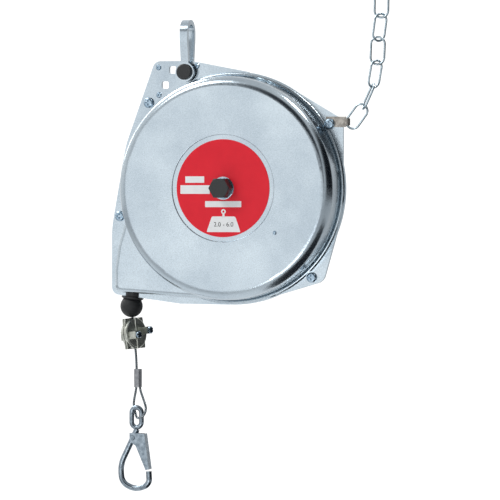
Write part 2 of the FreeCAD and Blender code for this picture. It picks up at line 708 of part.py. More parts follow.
def ratchet_wheel():
    """Toothed wheel on the arbor."""
    body = new_body("ratchet_wheel")
    low = "(front_depth - 11)"
    sketch = new_sketch(body, "XY_Plane", low)
    add_circle(sketch, "0", "0", "ratchet_r")
    pad(body, add_circle(sketch, "0", "0", "arbor_r"), "ratchet_thick")
    root = "(ratchet_r - tooth_deep)"
    notch = new_sketch(body, "XY_Plane", low)
    add_loop(notch, ((root, "0"), ("ratchet_r + 1", "0"),
                     ("(ratchet_r + 1) * 0.9744", "-(ratchet_r + 1) * 0.2250")))
    cut_notch = pocket(body, notch, "ratchet_thick", back=True)
    pattern = body.newObject("PartDesign::PolarPattern", "ratchet_teeth")
    pattern.Originals = [cut_notch]
    pattern.Axis = (notch, ["N_Axis"])
    pattern.Angle = 360.0
    pattern.setExpression("Occurrences", bound("ratchet_teeth"))
    body.Tip = pattern
    return at_hub(body)


PAWL_AT = (31.4, 26.4)


def pawl():
    """Pawl on its pin, drawn lifted just clear of the teeth."""
    body = new_body("pawl")
    low = "(front_depth - 11)"
    sketch = new_sketch(body, "XY_Plane", low)
    add_circle(sketch, "%g" % PAWL_AT[0], "%g" % PAWL_AT[1], "pawl_pin_r + 3")
    pad(body, sketch, "ratchet_thick")
    arm = (("30.5", "21.6"), ("31.4", "31.4"), ("4.5", "33"), ("0.4", "ratchet_r + gap"),
           ("4", "ratchet_r + gap + 2.5"))
    pad(body, add_loop(new_sketch(body, "XY_Plane", low), arm), "ratchet_thick")
    bore = new_sketch(body, "XY_Plane")
    add_circle(bore, "%g" % PAWL_AT[0], "%g" % PAWL_AT[1], "pawl_pin_r + fit")
    pocket(body, bore, both=True)
    return at_hub(body)


def pawl_pin():
    """Pin that stands on the inside of the front cover."""
    body = new_body("pawl_pin")
    sketch = new_sketch(body, "XY_Plane", "front_depth - 13")
    add_circle(sketch, "%g" % PAWL_AT[0], "%g" % PAWL_AT[1], "pawl_pin_r")
    pad(body, sketch, "13")
    return at_hub(body)


# ---------------------------------------------------------------- drum

def seat(index):
    """Formula of the drum radius under one winding."""
    return "(drum_small_r + %d * drum_step)" % index


def cable_drum():
    """Stepped cable drum with the spring chamber inside."""
    body = new_body("cable_drum")
    half = "groove_pitch / 2"
    rear = "-(groove_pitch * 3.5 + drum_lip)"
    outline = [("arbor_hole_r", rear + " - 4"), ("arbor_hole_r + 4", rear + " - 4"),
               ("arbor_hole_r + 4", rear), (seat(3) + " + cable_r * 2 + drum_lip", rear),
               (seat(3) + " + cable_r * 2 + drum_lip", "-groove_pitch * 3.5")]
    for index in (3, 2, 1, 0):
        outline.append((seat(index), "-groove_pitch * %g" % (index + 0.5)))
        outline.append((seat(index), "-groove_pitch * %g" % (index - 0.5)))
    lip = "drum_small_r + cable_r * 2 + drum_lip"
    outline += [(lip, half), (lip, half + " + drum_lip"), ("drum_small_r", half + " + drum_lip"),
                ("drum_small_r", half + " + drum_lip * 2"), ("chamber_r", half + " + drum_lip * 2"),
                ("chamber_r", rear + " + web_thick"), ("arbor_hole_r", rear + " + web_thick")]
    revolve(body, outline)
    pattern_holes(body, "lid_screw_r", rear)
    return at_hub(body)


def pattern_holes(body, radius, start):
    """Screw holes of the lid, evenly round the rim."""
    for index in range(int(size("lid_screw_count"))):
        angle = 2 * math.pi * index / size("lid_screw_count")
        sketch = new_sketch(body, "XY_Plane")
        add_circle(sketch, "(chamber_r + drum_small_r) / 2 * %.6f" % math.cos(angle),
                   "(chamber_r + drum_small_r) / 2 * %.6f" % math.sin(angle), radius)
        pocket(body, sketch, "groove_pitch + drum_lip * 6 + 2 * drum_lid_thick", both=True)


LID_LOW = "(groove_pitch / 2 + drum_lip * 2)"


def drum_lid():
    """Lid over the spring chamber, with a boss for its bush."""
    body = new_body("drum_lid")
    top = LID_LOW + " + drum_lid_thick"
    revolve(body, (("arbor_hole_r", LID_LOW), ("drum_small_r - 0.3", LID_LOW),
                   ("drum_small_r - 0.3", top), ("arbor_hole_r + 4", top),
                   ("arbor_hole_r + 4", top + " + 3"), ("arbor_hole_r", top + " + 3")))
    pattern_holes(body, "lid_screw_r", LID_LOW)
    return at_hub(body)


def drum_lid_screws():
    """Screws that hold the lid on the drum."""
    screws = []
    for index in range(int(size("lid_screw_count"))):
        angle = 2 * math.pi * index / size("lid_screw_count")
        body = DOC.addObject("PartDesign::Body", "lid_screw_%d" % (index + 1))
        top = LID_LOW + " + drum_lid_thick"
        revolve(body, (("0", LID_LOW + " - 8"), ("lid_screw_r", LID_LOW + " - 8"), ("lid_screw_r", top),
                       ("lid_screw_r * 1.8", top), ("lid_screw_r * 1.5", top + " + 2"), ("0", top + " + 2")))
        reach = "(chamber_r + drum_small_r) / 2"
        place(body, "hub_side + %s * %.6f" % (reach, math.cos(angle)), "0",
              "-hub_drop + %s * %.6f" % (reach, math.sin(angle)), FRONT_VIEW)
        screws.append(body)
    return group("drum_lid_screws", screws)


def cable_windings():
    """Cable turns lying in the grooves."""
    rings = []
    for index in range(int(size("groove_count"))):
        ring = DOC.addObject("Part::Torus", "winding_%d" % (index + 1))
        ring.setExpression("Radius1", bound(seat(index) + " + cable_r"))
        ring.setExpression("Radius2", bound("cable_r"))
        at_hub(ring, "-groove_pitch * %d" % index)
        rings.append(ring)
    return group("cable_windings", rings)


# ---------------------------------------------------------------- swept wires

def tangent_route(points):
    """Straight runs joined by tangent arcs; returns the edges and the arc radii."""
    edges = []
    radii = []
    start = points[0]
    for before, corner, after in zip(points, points[1:], points[2:]):
        come = (corner - before)
        leave = (after - corner)
        back = 0.45 * min(come.Length, leave.Length)
        come.normalize()
        leave.normalize()
        half_turn = come.getAngle(leave) / 2
        radius = back / math.tan(half_turn)
        bisector = (leave - come).normalize()
        top = corner + bisector * (radius / math.cos(half_turn) - radius)
        first = corner - come * back
        last = corner + leave * back
        edges.append(Part.LineSegment(start, first).toShape())
        edges.append(Part.Arc(first, top, last).toShape())
        radii.append(radius)
        start = last
    edges.append(Part.LineSegment(start, points[-1]).toShape())
    return edges, radii


def swept(edges, radius):
    """Solid round wire along edges."""
    first = edges[0]
    tangent = first.tangentAt(first.FirstParameter)
    circle = Part.Circle(first.valueAt(first.FirstParameter), tangent, radius).toShape()
    return Part.Wire(edges).makePipeShell([Part.Wire([circle])], True, False)


def wire_object(name, points, radius):
    """A wire along a route, as an object of its own."""
    edges, radii = tangent_route([Vector(*point) for point in points])
    made = DOC.addObject("Part::Feature", name)
    made.Shape = swept(edges, radius)
    length = sum(edge.Length for edge in edges)
    share = made.Shape.Volume / (math.pi * radius ** 2 * length)
    print("%s: length %.1f, volume/section*length %.3f, arc radii %s"
          % (name, length, share, ", ".join("%.1f" % r for r in radii)))
    return made


def power_spring():
    """Flat spiral spring wound on the arbor, built from half turns that grow evenly."""
    step = (size("chamber_r") - 10 - size("arbor_r")) / size("spring_turns") / 2
    radius = size("arbor_r") + size("spring_band") / 2
    start = Vector(radius, 0, 0)
    edges = []
    for index in range(2 * int(size("spring_turns"))):
        way = 1 if index % 2 == 0 else -1
        middle = start - Vector(way * radius, 0, 0)
        end = middle - Vector(way * radius, 0, 0)
        edges.append(Part.Arc(start, middle + Vector(0, way * radius, 0), end).toShape())
        start = end
        radius += step
    band = size("spring_band") / 2
    wide = size("spring_wide")
    inner = size("arbor_r")
    corners = [Vector(inner, 0, 0), Vector(inner + 2 * band, 0, 0), Vector(inner + 2 * band, 0, wide),
               Vector(inner, 0, wide), Vector(inner, 0, 0)]
    made = DOC.addObject("Part::Feature", "power_spring")
    made.Shape = Part.Wire(edges).makePipeShell([Part.makePolygon(corners)], True, False)
    keep(made, "power_spring")
    return at_hub(made, "-(groove_pitch * 3.5 + drum_lip - web_thick - 2.1)")


def cable_lead():
    """Cable from the drum to the exit nozzle."""
    points = [(x, 0, y) for x, y in LEAD_ROUTE]
    made = wire_object("cable_lead", points, size("cable_r"))
    return keep(place(made, "hub_side - cable_side", "0", "-hub_drop - ball_drop"), "cable_lead")


def hoist_cable():
    """Cable from the stop ball through the clamp into the ferrule."""
    points = [(x, 0, y) for x, y in HOIST_ROUTE]
    made = wire_object("hoist_cable", points, size("cable_r"))
    return keep(place(made, "hub_side - cable_side", "0", "-hub_drop - ball_drop"), "hoist_cable")


def cable_eye():
    """Loop of cable below the ferrule, through the eye of the hook."""
    made = wire_object("cable_eye", EYE_ROUTE, size("cable_r"))
    return keep(place(made, "hub_side - cable_side + eye_x", "0", "-hub_drop - eye_drop"), "cable_eye")


# ---------------------------------------------------------------- cable exit, ball, clamp

def cable_nozzle():
    """Guide in the lower edge, with a seat for the ball."""
    body = DOC.addObject("PartDesign::Body", "nozzle_body")
    bore = "(cable_r + 1.2)"
    top = "(nozzle_rim + 14)"
    revolve(body, ((bore, "ball_r * 0.6"), ("nozzle_rim_r - 2.1", "ball_r * 0.6"),
                   ("nozzle_rim_r", "nozzle_rim - 1.2"), ("nozzle_rim_r", "nozzle_rim"),
                   ("nozzle_r", "nozzle_rim"), ("nozzle_r", "nozzle_rim + 7.8"),
                   ("nozzle_r + 2", "nozzle_rim + 7.8"), ("nozzle_r + 2", "nozzle_rim + 9.8"),
                   ("nozzle_r", "nozzle_rim + 9.8"), ("nozzle_r", top), (bore, top)))
    place(body, "hub_side - cable_side", "0", "-hub_drop - ball_drop", nozzle_turn())
    ball = DOC.addObject("Part::Sphere", "nozzle_seat")
    ball.setExpression("Radius", bound("ball_r + gap"))
    place(ball, "hub_side - cable_side", "0", "-hub_drop - ball_drop")
    return keep(cut("nozzle", body, ball), "cable_nozzle")


def stop_ball():
    """Rubber ball that stops the cable at the nozzle."""
    ball = DOC.addObject("Part::Sphere", "ball")
    ball.setExpression("Radius", bound("ball_r"))
    place(ball, "hub_side - cable_side", "0", "-hub_drop - ball_drop")
    bore = DOC.addObject("Part::Cylinder", "ball_bore")
    bore.setExpression("Radius", bound("cable_r + 0.7"))
    bore.setExpression("Height", bound("ball_r * 2.2"))
    place(bore, "hub_side - cable_side + 0.2", "0", "-hub_drop - ball_drop - ball_r * 1.1")
    return keep(cut("ball_bored", ball, bore), "stop_ball")


def at_clamp(piece, turned=False):
    """Place a piece drawn in the clamp's own view."""
    lean = FreeCAD.Rotation(Vector(0, 1, 0), -CLAMP_LEAN)
    turn = FreeCAD.Rotation(Vector(0, 0, 1), CLAMP_TURN)
    flip = FreeCAD.Rotation(Vector(0, 1, 0), 180 if turned else 0)
    rotation = lean.multiply(turn).multiply(FRONT_VIEW).multiply(flip)
    return place(piece, "hub_side - cable_side + clamp_x", "0", "-hub_drop - clamp_low", rotation)


def box_loop(sketch, x, y, wide, high):
    """A rectangle about a formula point."""
    left, right = "%s - (%s) / 2" % (x, wide), "%s + (%s) / 2" % (x, wide)
    low, top = "%s - (%s) / 2" % (y, high), "%s + (%s) / 2" % (y, high)
    return add_loop(sketch, ((left, low), (right, low), (right, top), (left, top)))


def clamp_shell(body):
    """Dished round plate with a ridge over the cable and four short ears at its corners."""
    low = "gap"
    disc = add_circle(new_sketch(body, "XY_Plane", low), "0", "0", "clamp_r")
    pad(body, disc, "clamp_deep")
    round_edges(body, "clamp_deep * 0.55",
                lambda edge: is_circle(edge, size("clamp_r"), size("gap") + size("clamp_deep")))
    inside = add_circle(new_sketch(body, "XY_Plane", low), "0", "0", "clamp_r - clamp_sheet")
    pocket(body, inside, "clamp_deep - clamp_sheet", back=True)
    ridge = new_sketch(body, "XZ_Plane")
    add_loop(ridge, (("-3", low), ("3", low), ("3", "clamp_deep * 0.7"), ("1.4", "clamp_deep + 1.1"),
                     ("-1.4", "clamp_deep + 1.1"), ("-3", "clamp_deep * 0.7")))
    pad(body, ridge, "clamp_r * 1.94", both=True)
    for way in ("", "-"):
        ear = ((way + "8", "-ear_reach"), (way + "13.4", "-ear_reach"), (way + "15", "0"),
               (way + "13.4", "ear_reach"), (way + "8", "ear_reach"), (way + "12", "0"))
        pad(body, add_loop(new_sketch(body, "XY_Plane", low), ear), "clamp_sheet")
    groove = add_circle(new_sketch(body, "XZ_Plane"), "0", "0", "cable_r + 0.3")
    pocket(body, groove, "clamp_r * 3", both=True)


def clamp_half_outer():
    """Clamp half with two tall square bosses that carry the screw heads."""
    body = new_body("clamp_half_outer")
    clamp_shell(body)
    for way in ("", "-"):
        x, y = way + "clamp_screw_side", way + "clamp_stagger"
        boss = box_loop(new_sketch(body, "XY_Plane", "gap"), x, y, "boss_wide", "boss_wide")
        pad(body, boss, "clamp_deep + boss_tall")
        hole = add_circle(new_sketch(body, "XY_Plane"), x, y, "clamp_screw_r")
        pocket(body, hole, "clamp_deep + boss_tall * 2", back=True)
    return at_clamp(body)


def clamp_half_inner():
    """Clamp half with two shallow square pockets that keep the nuts from turning."""
    body = new_body("clamp_half_inner")
    clamp_shell(body)
    for way, other in (("-", ""), ("", "-")):
        x, y = way + "clamp_screw_side", other + "clamp_stagger"
        boss = box_loop(new_sketch(body, "XY_Plane", "gap"), x, y, "pocket_wide + clamp_sheet",
                        "pocket_high + clamp_sheet")
        pad(body, boss, "clamp_deep + 0.6")
        recess = box_loop(new_sketch(body, "XY_Plane", "gap + clamp_sheet"), x, y,
                          "pocket_wide - clamp_sheet", "pocket_high - clamp_sheet")
        pocket(body, recess, "clamp_deep * 2", back=True)
        hole = add_circle(new_sketch(body, "XY_Plane"), x, y, "clamp_screw_r")
        pocket(body, hole, "clamp_deep * 2", back=True)
    return at_clamp(body, True)


def clamp_screws():
    """Two slotted screws through both halves, their heads on the tall bosses."""
    screws = []
    for index, way in enumerate(("", "-")):
        body = DOC.addObject("PartDesign::Body", "clamp_screw_%d" % (index + 1))
        under = "(gap + clamp_deep + boss_tall)"
        tip = "-(clamp_deep + 4)"
        top = under + " + clamp_head"
        revolve(body, (("0", tip), ("clamp_screw_r", tip), ("clamp_screw_r", under),
                       ("clamp_head_r", under), ("clamp_head_r", top + " - 0.7"),
                       ("clamp_head_r - 0.7", top), ("0", top)))
        slot = box_loop(new_sketch(body, "XY_Plane", top + " - 1.3"), "0", "0", "clamp_r", "1.1")
        pocket(body, slot, "3", back=True)
        screws.append(shifted("clamp_screw_placed_%d" % (index + 1), body, way))
    return group("clamp_screws", screws)


def shifted(name, piece, way):
    """Move a clamp fastener from the middle to its own side, then into place."""
    piece.setExpression("Placement.Base.x", bound(way + "clamp_screw_side"))
    piece.setExpression("Placement.Base.y", bound(way + "clamp_stagger"))
    holder = DOC.addObject("Part::Compound", name)
    holder.Links = [piece]
    return at_clamp(holder)


def clamp_nuts():
    """Square-pocket nuts on the other side of the clamp."""
    nuts = []
    for index, way in enumerate(("", "-")):
        body = DOC.addObject("PartDesign::Body", "clamp_nut_%d" % (index + 1))
        sketch = add_loop(new_sketch(body, "XY_Plane", "-(gap + clamp_sheet)"), hexagon("pocket_high * 0.8"))
        pad(body, add_circle(sketch, "0", "0", "clamp_screw_r"), "clamp_deep + 0.4", back=True)
        nuts.append(shifted("clamp_nut_placed_%d" % (index + 1), body, way))
    return group("clamp_nuts", nuts)


def cable_ferrule():
    """Pressed sleeve round both legs of the cable eye."""
    body = new_body("cable_ferrule")
    x, y = "ferrule_wide / 2", "ferrule_deep / 2"
    outline = ((x, "-ferrule_deep * 0.22"), (x, "ferrule_deep * 0.22"), ("ferrule_wide * 0.22", y),
               ("-ferrule_wide * 0.22", y), ("-" + x, "ferrule_deep * 0.22"),
               ("-" + x, "-ferrule_deep * 0.22"), ("-ferrule_wide * 0.22", "-" + y),
               ("ferrule_wide * 0.22", "-" + y))
    pad(body, add_loop(new_sketch(body, "XY_Plane"), outline), "ferrule_long", back=True)
    bore = box_loop(new_sketch(body, "XY_Plane"), "0", "0", "cable_r * 4 + 1.2", "cable_r * 2 + 0.5")
    pocket(body, bore, both=True)
    return place(body, "hub_side - cable_side + ferrule_x", "0", "-hub_drop - ferrule_top")


# ---------------------------------------------------------------- snap hook

def at_eye(piece, rotation=None):
    """Place a piece measured from the middle of the hook's eye."""
    return place(piece, "hub_side - cable_side + eye_x", "0", "-hub_drop - eye_drop", rotation)


def snap_hook():
    """Hook bent from round wire: an oval eye and a pear-shaped loop."""
    middle = size("ring_wide") / 2 - size("ring_wire_r")
    rise = size("ring_high") / 2 - size("ring_wire_r") - middle
    low, high = Vector(0, 0, -rise), Vector(0, 0, rise)
    side = Vector(middle, 0, 0)
    loop = [Part.LineSegment(low - side, high - side).toShape(),
            Part.Arc(high - side, high + Vector(0, 0, middle), high + side).toShape(),
            Part.LineSegment(high + side, low + side).toShape(),
            Part.Arc(low + side, low - Vector(0, 0, middle), low - side).toShape()]
    ring = DOC.addObject("Part::Feature", "hook_ring")
    ring.Shape = swept(loop, size("ring_wire_r"))
    wire = wire_object("hook_wire", [(x, 0, y) for x, y in HOOK_ROUTE], size("hook_wire_r"))
    bore = DOC.addObject("Part::Cylinder", "hook_bore")
    bore.setExpression("Radius", bound("gate_rivet_r"))
    bore.setExpression("Height", bound("gate_wide"))
    bore.Placement = FreeCAD.Placement(Vector(), FRONT_VIEW)
    place(bore, "%g" % GATE_RIVET[0], "gate_wide / 2", "%g" % GATE_RIVET[1], FRONT_VIEW)
    made = cut("hook_bored", fuse("hook_joined", [ring, wire]), bore)
    return keep(at_eye(made), "snap_hook")


def hook_gate():
    """Gate of bent sheet, open towards the inside of the hook."""
    body = new_body("hook_gate")
    outline = add_loop(new_sketch(body, "XY_Plane"), [("%g" % x, "%g" % y) for x, y in GATE_OUTLINE])
    pad(body, outline, "gate_wide", both=True)
    (ax, ay), (bx, by), (cx, cy), (dx, dy) = GATE_OUTLINE[:4]
    channel = new_sketch(body, "XY_Plane")
    add_loop(channel, (("%g" % (ax - 9), "%g" % (ay + 5)), ("%g - gate_sheet" % bx, "%g" % (by + 5)),
                       ("%g - gate_sheet" % cx, "%g" % (cy - 5)), ("%g" % (ax - 9), "%g" % (dy - 5))))
    pocket(body, channel, "gate_wide - 2 * gate_sheet", both=True)
    rivet = add_circle(new_sketch(body, "XY_Plane"), "%g" % GATE_RIVET[0], "%g" % GATE_RIVET[1],
                       "gate_rivet_r + fit")
    pocket(body, rivet, both=True)
    return at_eye(body, FRONT_VIEW)


def gate_rivet():
    """Rivet through gate and hook."""
    body = new_body("gate_rivet")
    face = "(gate_wide / 2 + 0.1)"
    revolve(body, (("0", "-" + face + " - 0.9"), ("gate_rivet_r + 0.7", "-" + face + " - 0.9"),
                   ("gate_rivet_r + 1", "-" + face), ("gate_rivet_r", "-" + face), ("gate_rivet_r", face),
                   ("gate_rivet_r + 1", face), ("gate_rivet_r + 0.7", face + " + 0.9"), ("0", face + " + 0.9")))
    return place(body, "hub_side - cable_side + eye_x + %g" % GATE_RIVET[0], "0",
                 "-hub_drop - eye_drop + %g" % GATE_RIVET[1], FRONT_VIEW)


# ---------------------------------------------------------------- safety chain

def chain_clip():
    """Strap under a cover screw, its end curled round the first link."""
    body = new_body("chain_clip")
    strap = new_sketch(body, "XZ_Plane")
    outer = "(sheet_thick + clip_thick)"
    add_loop(strap, (("-clip_long", "sheet_thick"), ("0", "sheet_thick"), ("0", outer),
                     ("-clip_long", outer)))
    pad(body, strap, "clip_wide", both=True)
    curl = new_sketch(body, "XZ_Plane")
    add_circle(curl, "0", "sheet_thick - curl_in_r", "curl_in_r + clip_thick")
    pad(body, curl, "curl_wide", both=True)
    hollow = add_circle(new_sketch(body, "XZ_Plane"), "0", "sheet_thick - curl_in_r", "curl_in_r")
    pocket(body, hollow, both=True)
    x, y = screw_place(*SCREWS[1])
    hole = add_circle(new_sketch(body, "XY_Plane"), x + " - curl_x", y + " - clip_y", "screw_hole_r")
    pocket(body, hole, both=True)
    return place(body, "hub_side + curl_x", "0", "-hub_drop + clip_y", FRONT_VIEW)


def link_pose(index):
    """Place and turn of one link: its lower bend sits at the end of the link before."""
    bend = size("link_wide") / 2 - size("link_wire_r")
    straight = size("link_long") - size("link_wide")
    pitch = size("link_long") - 4 * size("link_wire_r") - size("link_slack")
    lean = math.radians(CHAIN_LEANS[0])
    curl = Vector(size("curl_x") + bend - 0.45, size("curl_in_r") - size("sheet_thick"), size("clip_y"))
    along = Vector(math.sin(lean), 0, math.cos(lean))
    middle = curl + along * (straight / 2)
    end = middle + along * (pitch / 2)
    for number in range(1, index + 1):
        lean = math.radians(CHAIN_LEANS[number])
        along = Vector(math.sin(lean), 0, math.cos(lean))
        middle = end + along * (pitch / 2)
        end = middle + along * (pitch / 2)
    tilt = FreeCAD.Rotation(Vector(0, 1, 0), CHAIN_LEANS[index])
    turn = FreeCAD.Rotation(Vector(0, 0, 1), CHAIN_TURNS[index])
    return middle, tilt.multiply(turn), end


def chain_link(index):
    """One welded link of the safety chain."""
    bend = size("link_wide") / 2 - size("link_wire_r")
    half = (size("link_long") - size("link_wide")) / 2
    side, rise = Vector(bend, 0, 0), Vector(0, 0, half)
    loop = [Part.LineSegment(-side - rise, rise - side).toShape(),
            Part.Arc(rise - side, rise + Vector(0, 0, bend), rise + side).toShape(),
            Part.LineSegment(rise + side, side - rise).toShape(),
            Part.Arc(side - rise, Vector(0, 0, -bend) - rise, -side - rise).toShape()]
    made = DOC.addObject("Part::Feature", "link_%d" % (index + 1))
    made.Shape = swept(loop, size("link_wire_r"))
    middle, rotation, end = link_pose(index)
    place(made, "hub_side + %.4f" % middle.x, "%.4f" % middle.y, "-hub_drop + %.4f" % middle.z, rotation)
    print("link %d: joint at %.2f %.2f %.2f" % (index + 1, end.x + size("hub_side"), end.y,
                                                end.z - size("hub_drop")))
    return keep(made, "chain_link_%d" % (index + 1))


# ---------------------------------------------------------------- build and write

def build_pieces():
    """Make every sub-part."""
    for maker in (front_cover, rear_cover, cover_screws, cover_nuts, plate_rivets, face_plug, hanger_pin,
                  hanger_pin_caps, suspension_bow, front_label, tension_knob, knob_washer, arbor,
                  arbor_ring, ratchet_wheel, pawl, pawl_pin, cable_drum, drum_lid, drum_lid_screws,
                  cable_windings, power_spring, cable_lead, hoist_cable, cable_eye, cable_nozzle,
                  stop_ball, clamp_half_outer, clamp_half_inner, clamp_screws, clamp_nuts, cable_ferrule,
                  snap_hook, hook_gate, gate_rivet, chain_clip):
        maker()
    flanged_bush("arbor_bush_front", "front_depth - 2", "front_depth", "label_seat")
    flanged_bush("arbor_bush_rear", "-(rear_depth - 2)", "-rear_depth", "-rear_face")
    rear = "-(groove_pitch * 3.5 + drum_lip)"
    flanged_bush("drum_bush_rear", rear + " + web_thick + 1.5", rear + " + web_thick", rear + " - 4")
    flanged_bush("drum_bush_front", LID_LOW + " - 1.5", LID_LOW, LID_LOW + " + drum_lid_thick + 3")
    for index in range(len(CHAIN_LEANS)):
        chain_link(index)


def check_objects():
    """Stop if any object failed or any shape is broken."""
    DOC.recompute()
    for item in DOC.Objects:
        if "Invalid" in item.State or "Error" in item.State:
            raise RuntimeError("%s failed: %s" % (item.Name, item.getStatusString()))
    for piece in PIECES:
        if piece.Shape.isNull() or not piece.Shape.isValid():
            raise RuntimeError("%s has a broken shape" % piece.Label)


def write_pieces():
    """Write one STEP file for each node."""
    os.makedirs("parts", exist_ok=True)
    for piece in PIECES:
        piece.Shape.exportStep("parts/%s.step" % piece.Label)
        box = piece.Shape.BoundBox
        print("%-18s %d solids %10.1f mm3  %s" % (piece.Label, len(piece.Shape.Solids), piece.Shape.Volume,
              " ".join("%.1f" % v for v in (box.XMin, box.YMin, box.ZMin, box.XMax, box.YMax, box.ZMax))))


fill_sheet()
build_pieces()
check_objects()
write_pieces()
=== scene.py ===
"""Spring balancer for hand tools: finishes, label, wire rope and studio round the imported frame.

Lengths named _mm are millimetres in the part's frame: the origin is the suspension seat, +X is
right seen from the label side, +Y goes to the rear and +Z is up.
"""
import json
import logging
import math
from dataclasses import dataclass
from enum import Enum
from typing import Any, Sequence

import bpy
import numpy as np
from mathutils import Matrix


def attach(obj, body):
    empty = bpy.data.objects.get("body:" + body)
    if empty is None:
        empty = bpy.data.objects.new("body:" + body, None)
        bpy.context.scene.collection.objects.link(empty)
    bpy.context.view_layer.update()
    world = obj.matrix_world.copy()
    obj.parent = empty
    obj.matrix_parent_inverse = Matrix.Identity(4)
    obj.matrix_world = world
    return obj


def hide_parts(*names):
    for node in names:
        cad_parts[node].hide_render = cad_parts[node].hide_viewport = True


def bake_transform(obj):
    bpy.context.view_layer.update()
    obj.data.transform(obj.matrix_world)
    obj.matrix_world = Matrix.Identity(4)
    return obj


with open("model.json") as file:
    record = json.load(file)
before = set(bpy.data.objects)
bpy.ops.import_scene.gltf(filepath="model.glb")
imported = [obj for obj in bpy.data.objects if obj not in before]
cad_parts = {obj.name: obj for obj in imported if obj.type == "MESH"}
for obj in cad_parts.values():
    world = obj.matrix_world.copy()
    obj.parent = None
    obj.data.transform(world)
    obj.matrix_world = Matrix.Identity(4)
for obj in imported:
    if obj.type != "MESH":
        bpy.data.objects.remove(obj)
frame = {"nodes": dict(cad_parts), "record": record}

LOG = logging.getLogger("balancer")
MM = 0.001
Point = tuple[float, float, float]
Colour = tuple[float, float, float, float]


def joint_place(name: str) -> np.ndarray:
    """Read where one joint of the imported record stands.

    Args:
        name: the joint's name.

    Returns:
        Its place in millimetres.
    """
    joints = frame["record"]["behaviour"]["joints"]
    return np.array(next(joint["pos_m"] for joint in joints if joint["name"] == name)) / MM


HUB = joint_place("drum_turn")
# Middle of the rubber ball, and the place just below the hook's swing axis that the points of
# the rope's eye are measured from.
STOP_BALL = HUB - np.array([110.4, 0.0, 119.9])
HOOK_EYE = joint_place("hook_swing") - np.array([0.0, 0.0, 0.6])
# Front of the label's film.
LABEL_FACE_MM = -36.35

# Control points of the rope from the ball's middle down to the ferrule.
HOIST_ROUTE_MM = (
    (0, 0, 11.4), (0.1, 0, -4.6), (2.8, 0, -31.1), (5.5, 0, -56.1), (5.5, 0, -72.4))
# Control points of the rope's eye from HOOK_EYE: down, round through the hook's eye and up again.
EYE_ROUTE_MM = (
    (0.1, 0, 40.0), (0, 0, 30.2), (-5.6, 4.8, 13.2), (-3.0, 4.9, 3.7), (0, 0, 0.6),
    (2.8, -4.9, -0.6), (8.6, -5.6, 0.6), (12.7, -5.0, 8.7), (8.0, -2.7, 19.7), (3.0, 0, 30.2),
    (2.9, 0, 40.0))


# ------------------------------------------------------------------ colour and node helpers

# Where the values of a noise texture mostly lie: the tones use a narrower part, for contrast.
TONE_SPAN = (0.32, 0.68)
NOISE_SPAN = (0.3, 0.7)
MOTTLE_DETAIL = 5.0
MOTTLE_ROUGHNESS = 0.6
# Numbers of the Mix node's colour sockets, whose names it also uses for its other data types.
MIX_FACTOR, MIX_A, MIX_B, MIX_RESULT = 0, 6, 7, 2


def linear(code: str) -> Colour:
    """Turn an sRGB hex value into linear light.

    Args:
        code: six hex digits, such as "a0b0c0".

    Returns:
        Linear red, green and blue, and an alpha of one.
    """
    parts = np.array([int(code[i:i + 2], 16) for i in (0, 2, 4)]) / 255.0
    low = parts / 12.92
    high = ((parts + 0.055) / 1.055) ** 2.4
    red, green, blue = np.where(parts <= 0.04045, low, high)
    return float(red), float(green), float(blue), 1.0


def add_node(tree: bpy.types.NodeTree, kind: str, settings: dict[str, Any] | None = None,
             sockets: dict[Any, Any] | None = None) -> bpy.types.Node:
    """Add one shader node with its settings, values and links.

    Args:
        tree: the node tree that gets the node.
        kind: the node's class without the ShaderNode prefix.
        settings: attributes of the node by name.
        sockets: inputs by name or number, each a plain value or an output socket to link from.

    Returns:
        The new node.
    """
    node = tree.nodes.new("ShaderNode" + kind)
    for name, value in (settings or {}).items():
        setattr(node, name, value)
    for name, value in (sockets or {}).items():
        if isinstance(value, bpy.types.NodeSocket):
            tree.links.new(value, node.inputs[name])
        else:
            node.inputs[name].default_value = value
    return node


class Coating(Enum):
    """How the surface of a finish was made; the value is the detail of its fine grain."""

    PLATED = 3.0
    MOULDED = 5.0
    PRINTED = 1.0
    MACHINED = 2.0


